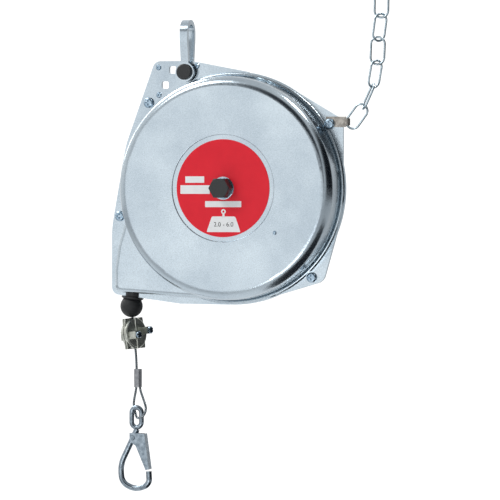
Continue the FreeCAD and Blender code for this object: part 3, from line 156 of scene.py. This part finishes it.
@dataclass(frozen=True)
class Finish:
    """One material, named for what it is and how its surface was made.

    The colour drifts between two tones over mottle_mm and the roughness swings with it; grain_mm
    is the size of the fine grain, which lifts the surface and speckles its colour. A stretch
    above one squeezes both patterns along that axis. Gloss is the shader's specular level.
    """

    name: str
    tone: str
    drift: str
    metallic: float = 0.0
    roughness: float = 0.5
    swing: float = 0.06
    mottle_mm: float = 12.0
    grain_mm: float = 0.5
    grain_lift: float = 0.05
    stretch: Point = (1.0, 1.0, 1.0)
    coating: Coating = Coating.PLATED
    speckle: float = 0.0
    gloss: float = 0.5

    def material(self) -> bpy.types.Material:
        """Build the node tree, once for each finish.

        Returns:
            The material.
        """
        found = bpy.data.materials.get(self.name)
        if found:
            return found
        made = bpy.data.materials.new(self.name)
        made.use_nodes = True
        tree = made.node_tree
        tree.nodes.clear()
        place = add_node(tree, "TexCoord")
        turn = add_node(tree, "Mapping", None, {
            "Vector": place.outputs["Object"], "Scale": self.stretch})
        mottle = add_node(tree, "TexNoise", None, {
            "Vector": turn.outputs[0], "Scale": 1.0 / (self.mottle_mm * MM),
            "Detail": MOTTLE_DETAIL, "Roughness": MOTTLE_ROUGHNESS})
        grain = add_node(tree, "TexNoise", None, {
            "Vector": turn.outputs[0], "Scale": 1.0 / (self.grain_mm * MM),
            "Detail": self.coating.value})
        share = add_node(tree, "MapRange", None, {
            "Value": mottle.outputs["Fac"], "From Min": TONE_SPAN[0], "From Max": TONE_SPAN[1]})
        drifted = add_node(tree, "Mix", {"data_type": "RGBA"}, {
            MIX_FACTOR: share.outputs[0], MIX_A: linear(self.tone), MIX_B: linear(self.drift)})
        crystal = add_node(tree, "MapRange", None, {
            "Value": grain.outputs["Fac"], "From Min": NOISE_SPAN[0], "From Max": NOISE_SPAN[1],
            "To Min": 1.0 - self.speckle, "To Max": 1.0 + self.speckle})
        colour = add_node(tree, "VectorMath", {"operation": "SCALE"}, {
            0: drifted.outputs[MIX_RESULT], "Scale": crystal.outputs[0]})
        rough = add_node(tree, "MapRange", None, {
            "Value": mottle.outputs["Fac"], "From Min": NOISE_SPAN[0], "From Max": NOISE_SPAN[1],
            "To Min": self.roughness - self.swing, "To Max": self.roughness + self.swing})
        bump = add_node(tree, "Bump", None, {
            "Height": grain.outputs["Fac"], "Strength": self.grain_lift,
            "Distance": self.grain_mm * MM})
        shader = add_node(tree, "BsdfPrincipled", None, {
            "Base Color": colour.outputs[0], "Metallic": self.metallic,
            "Roughness": rough.outputs[0], "Normal": bump.outputs[0],
            "Specular IOR Level": self.gloss})
        add_node(tree, "OutputMaterial", None, {"Surface": shader.outputs[0]})
        made.diffuse_color = linear(self.tone)
        return made


# Grains finer than about 0.3 mm don't show at the size of the render, so those of the real
# surfaces, which are mostly 0.02 to 0.2 mm, are drawn as coarse as grain_mm says.

# Zinc-plated deep-drawn steel: satin and cool grey, with soft clouds from the plating bath. Its
# crystals of about 0.1 mm are drawn 1.2 mm wide, and make the large flat face look like metal.
ZINC_SHEET = Finish("zinc_plated_sheet", "b9c4cb", "a7b3bc", metallic=1.0, roughness=0.20,
                    swing=0.03, mottle_mm=60.0, grain_mm=1.2, speckle=0.09)
# Bright zinc on turned and headed steel: a bluish passivated shine that glints on small edges.
ZINC_FASTENER = Finish("blue_zinc_fastener", "b3c2ce", "7b96aa", metallic=1.0, roughness=0.22,
                       mottle_mm=3.0, grain_mm=0.4)
# Zinc on thick drawn wire, rubbed by handling: a fairly sharp shine between darker worn patches.
ZINC_WIRE = Finish("zinc_plated_wire", "98a4ad", "6c7882", metallic=1.0, roughness=0.20,
                   mottle_mm=4.0, grain_lift=0.08)
# The same plating on thin chain wire, hardly worn: paler, with a thin bright line on each link.
CHAIN_WIRE = Finish("zinc_plated_chain_wire", "c3d0d6", "9fb0ba", metallic=1.0, roughness=0.24,
                    mottle_mm=3.0, grain_mm=0.4, grain_lift=0.06)
# Thin plated strip, passivated brown where it was bent: a warm grey with a wide soft shine.
CLIP_STRIP = Finish("passivated_steel_strip", "b7b3ac", "8b8680", metallic=1.0, roughness=0.36,
                    swing=0.08, mottle_mm=4.0, grain_mm=0.6, grain_lift=0.10)
# Stamped steel with a dull olive-grey plating: pale, patchy faces without sharp reflections.
CLAMP_SHEET = Finish("stamped_zinc_plate", "cfd1c9", "a2a59c", metallic=1.0, roughness=0.38,
                     swing=0.08, mottle_mm=3.5, grain_mm=0.6, grain_lift=0.12)
# Tinned copper sleeve, pressed on: plain mid grey, dulled by the press.
FERRULE = Finish("pressed_tinned_copper", "9b9da0", "7c7e82", metallic=1.0, roughness=0.44,
                 mottle_mm=3.0, grain_lift=0.12)
# Bright drawn steel wire: each strand carries its own glint, with dark gaps between strands.
ROPE_WIRE = Finish("bright_drawn_wire", "a2abb0", "6a7379", metallic=1.0, roughness=0.26,
                   swing=0.08, mottle_mm=1.5, grain_mm=0.3)
# Turned and ground steel: fine tool lines across the shaft's length and a clean grey shine.
MACHINED_STEEL = Finish("machined_steel", "8f9193", "7b7d80", metallic=1.0, roughness=0.30,
                        mottle_mm=5.0, grain_mm=0.3, grain_lift=0.06, stretch=(1.0, 6.0, 1.0),
                        coating=Coating.MACHINED)
# Heat-blued spring strip: dark blue-grey with an even, smooth shine.
BLUED_SPRING = Finish("blued_spring_steel", "4b5364", "3a404c", metallic=1.0, roughness=0.30,
                      mottle_mm=6.0)
# Die-cast aluminium as it leaves the mould: pale and matt, slightly uneven.
CAST_ALUMINIUM = Finish("die_cast_aluminium", "b4b5b6", "a2a4a6", metallic=1.0, roughness=0.45,
                        mottle_mm=4.0, grain_mm=0.8, grain_lift=0.15)
# Sintered bronze: a warm brown metal, matt from its open pores.
BRONZE = Finish("sintered_bronze", "a8804a", "8c6a3e", metallic=1.0, roughness=0.42,
                mottle_mm=2.0, grain_mm=0.3, grain_lift=0.20)
# Moulded glass-filled nylon: black with a fine moulded grain and a soft sheen.
BLACK_NYLON = Finish("moulded_black_nylon", "1d1f21", "26292b", roughness=0.42, mottle_mm=3.0,
                     grain_lift=0.12, coating=Coating.MOULDED)
# Moulded rubber: deeper black than the nylon, and its coarser grain spreads the shine wide.
BLACK_RUBBER = Finish("moulded_black_rubber", "101214", "191b1d", roughness=0.58, mottle_mm=4.0,
                      grain_mm=0.7, grain_lift=0.25, coating=Coating.MOULDED)
# Screen-printed polyester film under a satin over-laminate: an even, strong red, little gloss.
RED_FILM = Finish("printed_red_film", "ea2334", "e32032", roughness=0.34, swing=0.03,
                  mottle_mm=14.0, grain_mm=0.6, grain_lift=0.02, coating=Coating.PRINTED,
                  gloss=0.2)
# Screen-printed white ink: flat and even, a little greyer than the paper floor.
WHITE_INK = Finish("printed_white_ink", "f3f4f4", "eceeef", roughness=0.40, swing=0.03,
                   mottle_mm=10.0, grain_mm=0.6, grain_lift=0.02, coating=Coating.PRINTED,
                   gloss=0.2)
# Screen-printed black ink: flat and even, with hardly any shine.
BLACK_INK = Finish("printed_black_ink", "1b1b1d", "232326", roughness=0.40, swing=0.03,
                   mottle_mm=10.0, grain_mm=0.6, grain_lift=0.02, coating=Coating.PRINTED,
                   gloss=0.2)
# Matt studio paper: a pale, even floor for the edges to mirror.
FLOOR_PAPER = Finish("studio_floor_paper", "f4f5f6", "f2f3f4", roughness=0.9, swing=0.02,
                     mottle_mm=400.0, grain_mm=60.0, grain_lift=0.0)
# Matt dark cloth: it gives the lower right edges something dark to mirror.
DARK_MAT = Finish("studio_dark_mat", "0e141b", "111820", roughness=0.9, swing=0.02,
                  mottle_mm=400.0, grain_mm=60.0, grain_lift=0.0)

# The finish of each material slot of the part.
SLOT_FINISH: dict[str, Finish] = {
    "zinc_sheet": ZINC_SHEET, "zinc_fastener": ZINC_FASTENER, "zinc_wire": ZINC_WIRE,
    "clip_steel": CLIP_STRIP, "clamp_sheet": CLAMP_SHEET, "chain_steel": CHAIN_WIRE,
    "ferrule_metal": FERRULE, "wire_rope": ROPE_WIRE, "bare_steel": MACHINED_STEEL,
    "spring_steel": BLUED_SPRING, "cast_aluminium": CAST_ALUMINIUM, "bronze": BRONZE,
    "black_plastic": BLACK_NYLON, "black_rubber": BLACK_RUBBER, "red_label": RED_FILM,
}


# ------------------------------------------------------------------ mesh helpers

def link(name: str, data: bpy.types.ID) -> bpy.types.Object:
    """Put some data into the scene, as an object at the origin.

    Args:
        name: the object's name.
        data: its mesh, curve, camera or light.

    Returns:
        The object.
    """
    made = bpy.data.objects.new(name, data)
    bpy.context.scene.collection.objects.link(made)
    return made


def mesh_object(name: str, points_mm: np.ndarray, faces: np.ndarray | list[list[int]],
                finish: Finish, smooth: bool = True) -> bpy.types.Object:
    """Put computed points and faces into a mesh whose object sits at the origin.

    Args:
        name: name of the piece.
        points_mm: array of shape (n, 3) in the part's frame.
        faces: rows of corner numbers.
        finish: the material's finish.
        smooth: whether the faces are shaded smooth.

    Returns:
        The linked object.
    """
    mesh = bpy.data.meshes.new(name)
    rows = faces.tolist() if isinstance(faces, np.ndarray) else faces
    mesh.from_pydata((np.asarray(points_mm) * MM).tolist(), [], rows)
    mesh.polygons.foreach_set("use_smooth", np.full(len(rows), smooth))
    mesh.materials.append(finish.material())
    mesh.update()
    return link(name, mesh)


def mesh_of(curve: bpy.types.Curve) -> tuple[bpy.types.Mesh, np.ndarray]:
    """Turn a curve or a text into a mesh.

    Args:
        curve: the curve's data.

    Returns:
        The mesh and its points in metres, shape (n, 3).
    """
    line = link(curve.name, curve)
    bpy.context.view_layer.update()
    mesh = bpy.data.meshes.new_from_object(line)
    points = np.empty(len(mesh.vertices) * 3)
    mesh.vertices.foreach_get("co", points)
    bpy.data.objects.remove(line)
    return mesh, points.reshape(-1, 3)


def grid_faces(rows: int, columns: int) -> np.ndarray:
    """Quads of a grid that is open along its rows and closed round its columns.

    Args:
        rows: number of rings.
        columns: number of points in each ring.

    Returns:
        Array of shape ((rows - 1) * columns, 4).
    """
    row, column = np.meshgrid(np.arange(rows - 1), np.arange(columns), indexing="ij")
    after = (column + 1) % columns
    quads = np.stack([row * columns + column, row * columns + after,
                      (row + 1) * columns + after, (row + 1) * columns + column], axis=-1)
    return quads.reshape(-1, 4)


def rounded_outline(corners: Sequence[tuple[float, float]], radius: float,
                    steps: int = 6) -> list[list[float]]:
    """Round each corner of a polygon with a quadratic curve whose ends lie radius from the corner.

    Args:
        corners: polygon corners in order.
        radius: distance from corner to where the rounding starts.
        steps: points per corner.

    Returns:
        The rounded outline's points.
    """
    here = np.asarray(corners, float)
    before, after = np.roll(here, 1, axis=0), np.roll(here, -1, axis=0)
    back = (before - here) / np.linalg.norm(before - here, axis=1, keepdims=True)
    ahead = (after - here) / np.linalg.norm(after - here, axis=1, keepdims=True)
    t = np.linspace(0.0, 1.0, steps)[None, :, None]
    start, end = (here + back * radius)[:, None], (here + ahead * radius)[:, None]
    curve = (1 - t) ** 2 * start + 2 * t * (1 - t) * here[:, None] + t ** 2 * end
    return curve.reshape(-1, 2).tolist()


def offset(points: Sequence[Sequence[float]], origin: np.ndarray) -> list[Point]:
    """Move route points given from an origin into the part's frame."""
    return [tuple(float(v) for v in origin + np.array(p, float)) for p in points]


# ------------------------------------------------------------------ label

@dataclass
class Plate:
    """Thin raised print: an outline in the label's plane, drawn out towards the front.

    The outline's points are (right of the hub, above the hub) in millimetres. The plate's top has
    the outline drawn in towards its middle by a hair, so its edge catches the light, and its foot
    lies sunk_mm behind the film's front, so that no gap shows.
    """

    name: str
    outline: Sequence[Sequence[float]]
    finish: Finish
    rise_mm: float = 0.08
    sunk_mm: float = 0.02
    top_share: float = 0.995

    def build(self) -> bpy.types.Object:
        """Build the plate: two copies of the outline, joined by one ring of sides and capped.

        Returns:
            A closed prism with a shallow bevel.
        """
        flat = np.asarray(self.outline, float)
        count = len(flat)
        middle = flat.mean(axis=0)
        top = middle + (flat - middle) * self.top_share
        foot = np.full(count, LABEL_FACE_MM + self.sunk_mm)
        face = np.full(count, LABEL_FACE_MM - self.rise_mm)
        low = np.column_stack([flat[:, 0], foot, flat[:, 1]])
        high = np.column_stack([top[:, 0], face, top[:, 1]])
        points = np.vstack([low, high]) + np.array([HUB[0], 0.0, HUB[2]])
        sides = grid_faces(2, count)[:, ::-1].tolist()
        caps = [list(range(count)), list(range(2 * count - 1, count - 1, -1))]
        made = mesh_object(self.name, points, sides + caps, self.finish, smooth=False)
        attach(made, "housing")
        return made


@dataclass
class Label:
    """Printed label: white fields, a plain weight sign and its load range in numbers.

    Places are (right of the hub, above the hub) in millimetres, and a field is its left, low,
    right and high edge. A capital's height is capital_share of the font's size.
    """

    fields: Sequence[tuple[float, float, float, float]] = (
        (-39.8, 5.4, -19.7, 11.9), (-45.0, -5.7, -13.8, 3.0), (-18.8, -19.0, 19.4, -12.9))
    field_round_mm: float = 0.5
    weight: Sequence[tuple[float, float]] = (
        (-17.3, -43.9), (18.7, -43.9), (13.0, -28.2), (-11.7, -28.2))
    weight_round_mm: float = 1.6
    neck: Sequence[tuple[float, float]] = (
        (-0.6, -28.4), (1.9, -28.4), (1.6, -25.6), (-0.3, -25.6))
    eyelet_at: tuple[float, float] = (0.6, -23.4)
    eyelet_outer_mm: float = 2.5
    eyelet_inner_mm: float = 1.1
    eyelet_rise_mm: float = 0.07
    eyelet_points: int = 32
    digits: str = "2.0 - 6.0"
    digits_at: tuple[float, float] = (0.7, -38.3)
    digit_high_mm: float = 4.4
    digit_rise_mm: float = 0.10
    digit_thick_mm: float = 0.03
    capital_share: float = 0.7

    def build(self) -> list[bpy.types.Object]:
        """Build every printed piece.

        Returns:
            The pieces in the order they were made.
        """
        made = []
        for number, (left, low, right, high) in enumerate(self.fields, start=1):
            corners = [(left, low), (right, low), (right, high), (left, high)]
            outline = rounded_outline(corners, self.field_round_mm)
            made.append(Plate("label_field_%d" % number, outline, WHITE_INK).build())
        outline = rounded_outline(self.weight, self.weight_round_mm)
        made.append(Plate("weight_sign", outline, WHITE_INK).build())
        made.append(self.eyelet())
        made.append(Plate("weight_neck", self.neck, WHITE_INK).build())
        made.append(self.numbers())
        return made

    def eyelet(self) -> bpy.types.Object:
        """Build the ring over the weight: a flat annulus between two circles round one centre.

        Returns:
            The ring.
        """
        angle = np.linspace(0.0, 2.0 * np.pi, self.eyelet_points, endpoint=False)
        around = np.column_stack([np.cos(angle), np.sin(angle)])
        centre = np.array(self.eyelet_at)
        flat = np.vstack([centre + around * self.eyelet_outer_mm,
                          centre + around * self.eyelet_inner_mm])
        depth = np.full(len(flat), LABEL_FACE_MM - self.eyelet_rise_mm)
        points = np.column_stack([flat[:, 0] + HUB[0], depth, flat[:, 1] + HUB[2]])
        made = mesh_object("weight_eyelet", points, grid_faces(2, self.eyelet_points)[:, ::-1],
                           WHITE_INK, smooth=False)
        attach(made, "housing")
        return made

    def numbers(self) -> bpy.types.Object:
        """Print the load range: a text made a mesh, then moved into the label's plane.

        Returns:
            The numbers as one piece.
        """
        curve = bpy.data.curves.new("load_range_text", "FONT")
        curve.body = self.digits
        curve.align_x = "CENTER"
        curve.size = self.digit_high_mm * MM / self.capital_share
        curve.extrude = self.digit_thick_mm * MM
        flat, points = mesh_of(curve)
        placed = np.column_stack([points[:, 0] + (HUB[0] + self.digits_at[0]) * MM,
                                  (LABEL_FACE_MM - self.digit_rise_mm) * MM - points[:, 2],
                                  points[:, 1] + (HUB[2] + self.digits_at[1]) * MM])
        flat.vertices.foreach_set("co", placed.ravel())
        flat.materials.clear()
        flat.materials.append(BLACK_INK.material())
        flat.update()
        made = link("load_range", flat)
        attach(made, "housing")
        return made


# ------------------------------------------------------------------ wire rope

@dataclass(kw_only=True)
class StrandedRope:
    """Six strands laid round a core, whose radii are shares of the rope's radius."""

    name: str
    radius_mm: float = 1.3
    strands: int = 6
    lay_mm: float = 14.0
    around: int = 8
    strand_share: float = 0.31
    core_share: float = 0.40

    def lay(self, path: np.ndarray) -> bpy.types.Object:
        """Lay the strands: each is a tube whose centre turns round the path once every lay_mm.

        Args:
            path: points along the rope in millimetres.

        Returns:
            The strands as one mesh.
        """
        step = np.linalg.norm(np.diff(path, axis=0), axis=1)
        along = np.concatenate([[0.0], np.cumsum(step)])
        # A tiny step is added between points, so that two on one spot don't divide by zero.
        tangent = np.gradient(path, along + np.arange(len(along)) * 1e-9, axis=0)
        tangent /= np.linalg.norm(tangent, axis=1, keepdims=True)
        side, other = self.cross_axes(tangent)
        angle = np.linspace(0, 2 * np.pi, self.around, endpoint=False)
        ring = (np.cos(angle)[None, :, None] * side[:, None]
                + np.sin(angle)[None, :, None] * other[:, None])
        strand_mm = self.radius_mm * self.strand_share
        rows = len(path)
        sheets, faces = [], []
        for number in range(self.strands + 1):
            is_core = number == self.strands
            out = 0.0 if is_core else self.radius_mm - strand_mm
            radius = self.radius_mm * self.core_share if is_core else strand_mm
            twist = 2 * np.pi * (along / self.lay_mm + number / self.strands)
            centre = path + out * (np.cos(twist)[:, None] * side + np.sin(twist)[:, None] * other)
            sheets.append((centre[:, None] + radius * ring).reshape(-1, 3))
            start = number * rows * self.around
            last = start + (rows - 1) * self.around
            faces += (grid_faces(rows, self.around) + start).tolist()
            faces += [list(range(start + self.around - 1, start - 1, -1)),
                      list(range(last, last + self.around))]
        made = mesh_object(self.name, np.vstack(sheets), faces, ROPE_WIRE)
        return made

    @staticmethod
    def cross_axes(tangent: np.ndarray) -> tuple[np.ndarray, np.ndarray]:
        """Two axes across the path, turned from the fixed direction that it is least parallel to.

        Args:
            tangent: unit tangents, shape (n, 3).

        Returns:
            The two cross axes, each of shape (n, 3).
        """
        grid = np.array([(x, y, z) for x in (-1, 0, 1) for y in (-1, 0, 1) for z in (-1, 0, 1)
                         if (x, y, z) != (0, 0, 0)], float)
        grid /= np.linalg.norm(grid, axis=1, keepdims=True)
        worst = np.abs(tangent @ grid.T).max(axis=0)
        side = np.cross(tangent, grid[worst.argmin()])
        side /= np.linalg.norm(side, axis=1, keepdims=True)
        return side, np.cross(tangent, side)


@dataclass(kw_only=True)
class WireRope(StrandedRope):
    """Stranded rope that stands for one plain CAD cord and follows its route's spline."""

    node: str
    body: str
    route_mm: Sequence[Point]
    length_mm: float
    carried: tuple[str, ...] = ()
    far_end: str = "fitting"
    spline_order: int = 3
    spline_steps: int = 24

    def path(self) -> np.ndarray:
        """Follow the NURBS spline that the route's control points draw.

        Returns:
            Points along it in millimetres, shape (n, 3).
        """
        curve = bpy.data.curves.new(self.name + "_line", "CURVE")
        curve.dimensions = "3D"
        spline = curve.splines.new("NURBS")
        spline.points.add(len(self.route_mm) - 1)
        control = np.column_stack([np.asarray(self.route_mm) * MM, np.ones(len(self.route_mm))])
        spline.points.foreach_set("co", control.ravel())
        spline.order_u = self.spline_order
        spline.use_endpoint_u = True
        spline.resolution_u = self.spline_steps
        mesh, points = mesh_of(curve)
        bpy.data.meshes.remove(mesh)
        return points / MM

    def build(self) -> bpy.types.Object:
        """Build the rope in place of its plain solid.

        Returns:
            The rope.
        """
        path = self.path()
        made = self.lay(path)
        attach(made, self.body)
        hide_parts(self.node)
        return made


@dataclass(kw_only=True)
class PaidOutRope(StrandedRope):
    """Short straight rope inside the nozzle at rest.

    Its two heights are above the ball's middle.
    """

    name: str = "paid_out_rope"
    top_mm: float = 22.0
    low_mm: float = 11.0
    rows: int = 40

    def build(self) -> bpy.types.Object:
        """Lay a short straight rope between its two heights.

        Returns:
            The rope.
        """
        high = np.linspace(self.top_mm, self.low_mm, self.rows)
        path = STOP_BALL + np.column_stack([0.0 * high, 0.0 * high, high])
        made = self.lay(path)
        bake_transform(made)
        return made


# ------------------------------------------------------------------ CAD nodes

@dataclass(frozen=True)
class CadNodes:
    """CAD nodes as they are, each dressed by its material slot."""

    finishes: dict[str, Finish]

    def dress(self) -> int:
        """Give every CAD node the finish of its slot.

        Returns:
            How many nodes were dressed.
        """
        slots = {entry["node"]: entry["material_slot"] for entry in frame["record"]["subparts"]}
        for name, node in frame["nodes"].items():
            material = self.finishes[slots[name]].material()
            for number in range(len(node.material_slots)):
                node.material_slots[number].material = material
        return len(frame["nodes"])


# ------------------------------------------------------------------ studio

def facing(ahead: np.ndarray) -> Point:
    """Turn that points a camera's or a light's -Z axis along a direction, with its top upwards."""
    pitch = math.atan2(ahead[2], math.hypot(ahead[0], ahead[1]))
    return math.pi / 2 + pitch, 0.0, math.atan2(-ahead[0], ahead[1])


@dataclass(frozen=True)
class SoftLight:
    """One soft rectangular light: where it stands, its width and height, power and aim."""

    name: str
    place_mm: Point
    size_mm: tuple[float, float]
    watts: float
    aim_mm: Point = tuple(HUB)

    def build(self) -> None:
        """Add the light and turn it to its aim."""
        data = bpy.data.lights.new(self.name, "AREA")
        data.shape = "RECTANGLE"
        data.size, data.size_y = self.size_mm[0] * MM, self.size_mm[1] * MM
        data.energy = self.watts
        made = link(self.name, data)
        place = np.asarray(self.place_mm, float)
        made.location = (place * MM).tolist()
        made.rotation_euler = facing(np.asarray(self.aim_mm, float) - place)


@dataclass(frozen=True)
class SkyPatch:
    """Round part of the surround with its own shade, centred on one direction.

    The shade comes in where the cosine of the angle from that direction rises from edge to core.
    """

    ahead: Point
    edge: float
    core: float
    shade: Colour

    def over(self, tree: bpy.types.NodeTree, direction: bpy.types.NodeSocket,
             colour: Colour | bpy.types.NodeSocket) -> bpy.types.NodeSocket:
        """Lay the patch over a colour.

        Args:
            tree: the world's node tree.
            direction: socket with the direction looked in.
            colour: what lies under the patch, a plain colour or a socket.

        Returns:
            The socket with the new colour.
        """
        nearness = add_node(tree, "VectorMath", {"operation": "DOT_PRODUCT"}, {
            0: direction, 1: self.ahead})
        depth = add_node(tree, "MapRange", {"interpolation_type": "SMOOTHSTEP"}, {
            "Value": nearness.outputs["Value"], "From Min": self.edge, "From Max": self.core})
        mixed = add_node(tree, "Mix", {"data_type": "RGBA"}, {
            MIX_FACTOR: depth.outputs[0], MIX_A: colour, MIX_B: self.shade})
        return mixed.outputs[MIX_RESULT]


@dataclass
class Studio:
    """Pale floor with a dark mat on its right, soft lights, a pale surround and the camera.

    The camera stands turn_deg to the right of the label's axis, level with the hub, and looks
    past it by right_mm and down_mm.
    """

    turn_deg: float = 18.7
    away_mm: float = 4000.0
    face_y_mm: float = -37.0
    right_mm: float = 27.32
    down_mm: float = 61.8
    lens_mm: float = 288.0
    sensor_mm: float = 36.0
    seen_to_mm: float = 50000.0
    floor_mm: float = -2700.0
    floor_reach_mm: float = 20000.0
    mat_left_mm: float = 450.0
    mat_right_mm: float = 5500.0
    mat_front_mm: float = -3200.0
    mat_rear_mm: float = 2500.0
    mat_lift_mm: float = 5.0
    glow: float = 0.8

    def build(self) -> None:
        """Set up camera, floor, lights and a pale surround."""
        self.camera()
        self.floors()
        self.lights()
        self.surround()
        bpy.context.scene.view_settings.view_transform = "Standard"

    def camera(self) -> None:
        """Stand the camera and aim it."""
        turn = math.radians(self.turn_deg)
        middle = HUB + np.array([0.0, self.face_y_mm, 0.0])
        stand = middle + self.away_mm * np.array([math.sin(turn), -math.cos(turn), 0.0])
        aside = self.right_mm * np.array([math.cos(turn), math.sin(turn), 0.0])
        aim = middle + aside - self.down_mm * np.array([0.0, 0.0, 1.0])
        data = bpy.data.cameras.new("view")
        data.lens = self.lens_mm
        data.sensor_width = self.sensor_mm
        data.clip_end = self.seen_to_mm * MM
        made = link("view", data)
        made.location = (stand * MM).tolist()
        made.rotation_euler = facing(aim - stand)
        bpy.context.scene.camera = made

    def floors(self) -> None:
        """Pale floor well below the lowest load, and a mat that darkens the lower right edges."""
        reach = self.floor_reach_mm
        self.ground("studio_floor", (-reach, reach), (-reach, reach), self.floor_mm, FLOOR_PAPER)
        self.ground("studio_mat", (self.mat_left_mm, self.mat_right_mm),
                    (self.mat_front_mm, self.mat_rear_mm), self.floor_mm + self.mat_lift_mm,
                    DARK_MAT)

    def ground(self, name: str, x_mm: tuple[float, float], y_mm: tuple[float, float],
               high: float, finish: Finish) -> None:
        """Lay one flat rectangle that faces upwards.

        Args:
            name: the object's name.
            x_mm: its least and greatest X.
            y_mm: its least and greatest Y.
            high: its height.
            finish: its material.
        """
        (left, right), (front, rear) = x_mm, y_mm
        corners = np.array([(left, front, high), (right, front, high), (right, rear, high),
                            (left, rear, high)])
        mesh_object(name, corners, np.array([[0, 1, 2, 3]]), finish)

    def lights(self) -> None:
        """Add the soft lights, all aimed at the hub but one, which keeps the floor pale."""
        for lamp in (
                SoftLight("key", (-600, -3200, -300), (3000, 1500), 9.0),
                SoftLight("low_front", (-50, -3150, -1150), (900, 600), 6.5),
                SoftLight("front_fill", (-1500, -1800, 2000), (1300, 1300), 30),
                SoftLight("upper_right", (1400, 270, 2150), (700, 700), 24),
                SoftLight("floor_wash", (-2500, 1500, 2500), (2000, 2000), 130,
                          (-2500, 1000, self.floor_mm)),
                SoftLight("left_back", (-2400, 900, 900), (400, 1300), 7)):
            lamp.build()

    def surround(self) -> None:
        """White room, dark to the right and high in front, brighter to the left and behind."""
        world = bpy.data.worlds.new("surround")
        world.use_nodes = True
        tree = world.node_tree
        tree.nodes.clear()
        direction = add_node(tree, "TexCoord").outputs["Generated"]
        colour: Colour | bpy.types.NodeSocket = linear("f6f8fa")
        for patch in (SkyPatch((0.97, 0.15, -0.15), 0.42, 0.74, linear("0c131c")),
                      SkyPatch((0.10, -0.90, 0.42), 0.84, 0.96, linear("30363e")),
                      SkyPatch((-0.90, 0.30, 0.10), 0.30, 0.80, (1.3, 1.3, 1.3, 1.0)),
                      SkyPatch((-0.32, 0.94, 0.0), 0.80, 0.95, (1.5, 1.5, 1.5, 1.0))):
            colour = patch.over(tree, direction, colour)
        glow = add_node(tree, "Background", None, {"Color": colour, "Strength": self.glow})
        add_node(tree, "OutputWorld", None, {"Surface": glow.outputs[0]})
        bpy.context.scene.world = world


def main() -> None:
    """Build every sub-assembly in order."""
    logging.basicConfig(level=logging.INFO)
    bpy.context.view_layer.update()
    Studio().build()
    LOG.info("dressed %d CAD nodes", CadNodes(SLOT_FINISH).dress())
    ropes = (
        WireRope(name="hoist_rope", node="hoist_cable", body="load",
                 route_mm=offset(HOIST_ROUTE_MM, STOP_BALL), length_mm=84.0,
                 carried=("cable_ferrule",), far_end="fitting"),
        WireRope(name="rope_eye", node="cable_eye", body="load",
                 route_mm=offset(EYE_ROUTE_MM, HOOK_EYE), length_mm=94.0, far_end="object"),
        PaidOutRope(),
    )
    for rope in ropes:
        LOG.info("rope %s", rope.build().name)
    for piece in Label().build():
        LOG.info("label piece %s", piece.name)


if __name__ == "__main__":
    main()
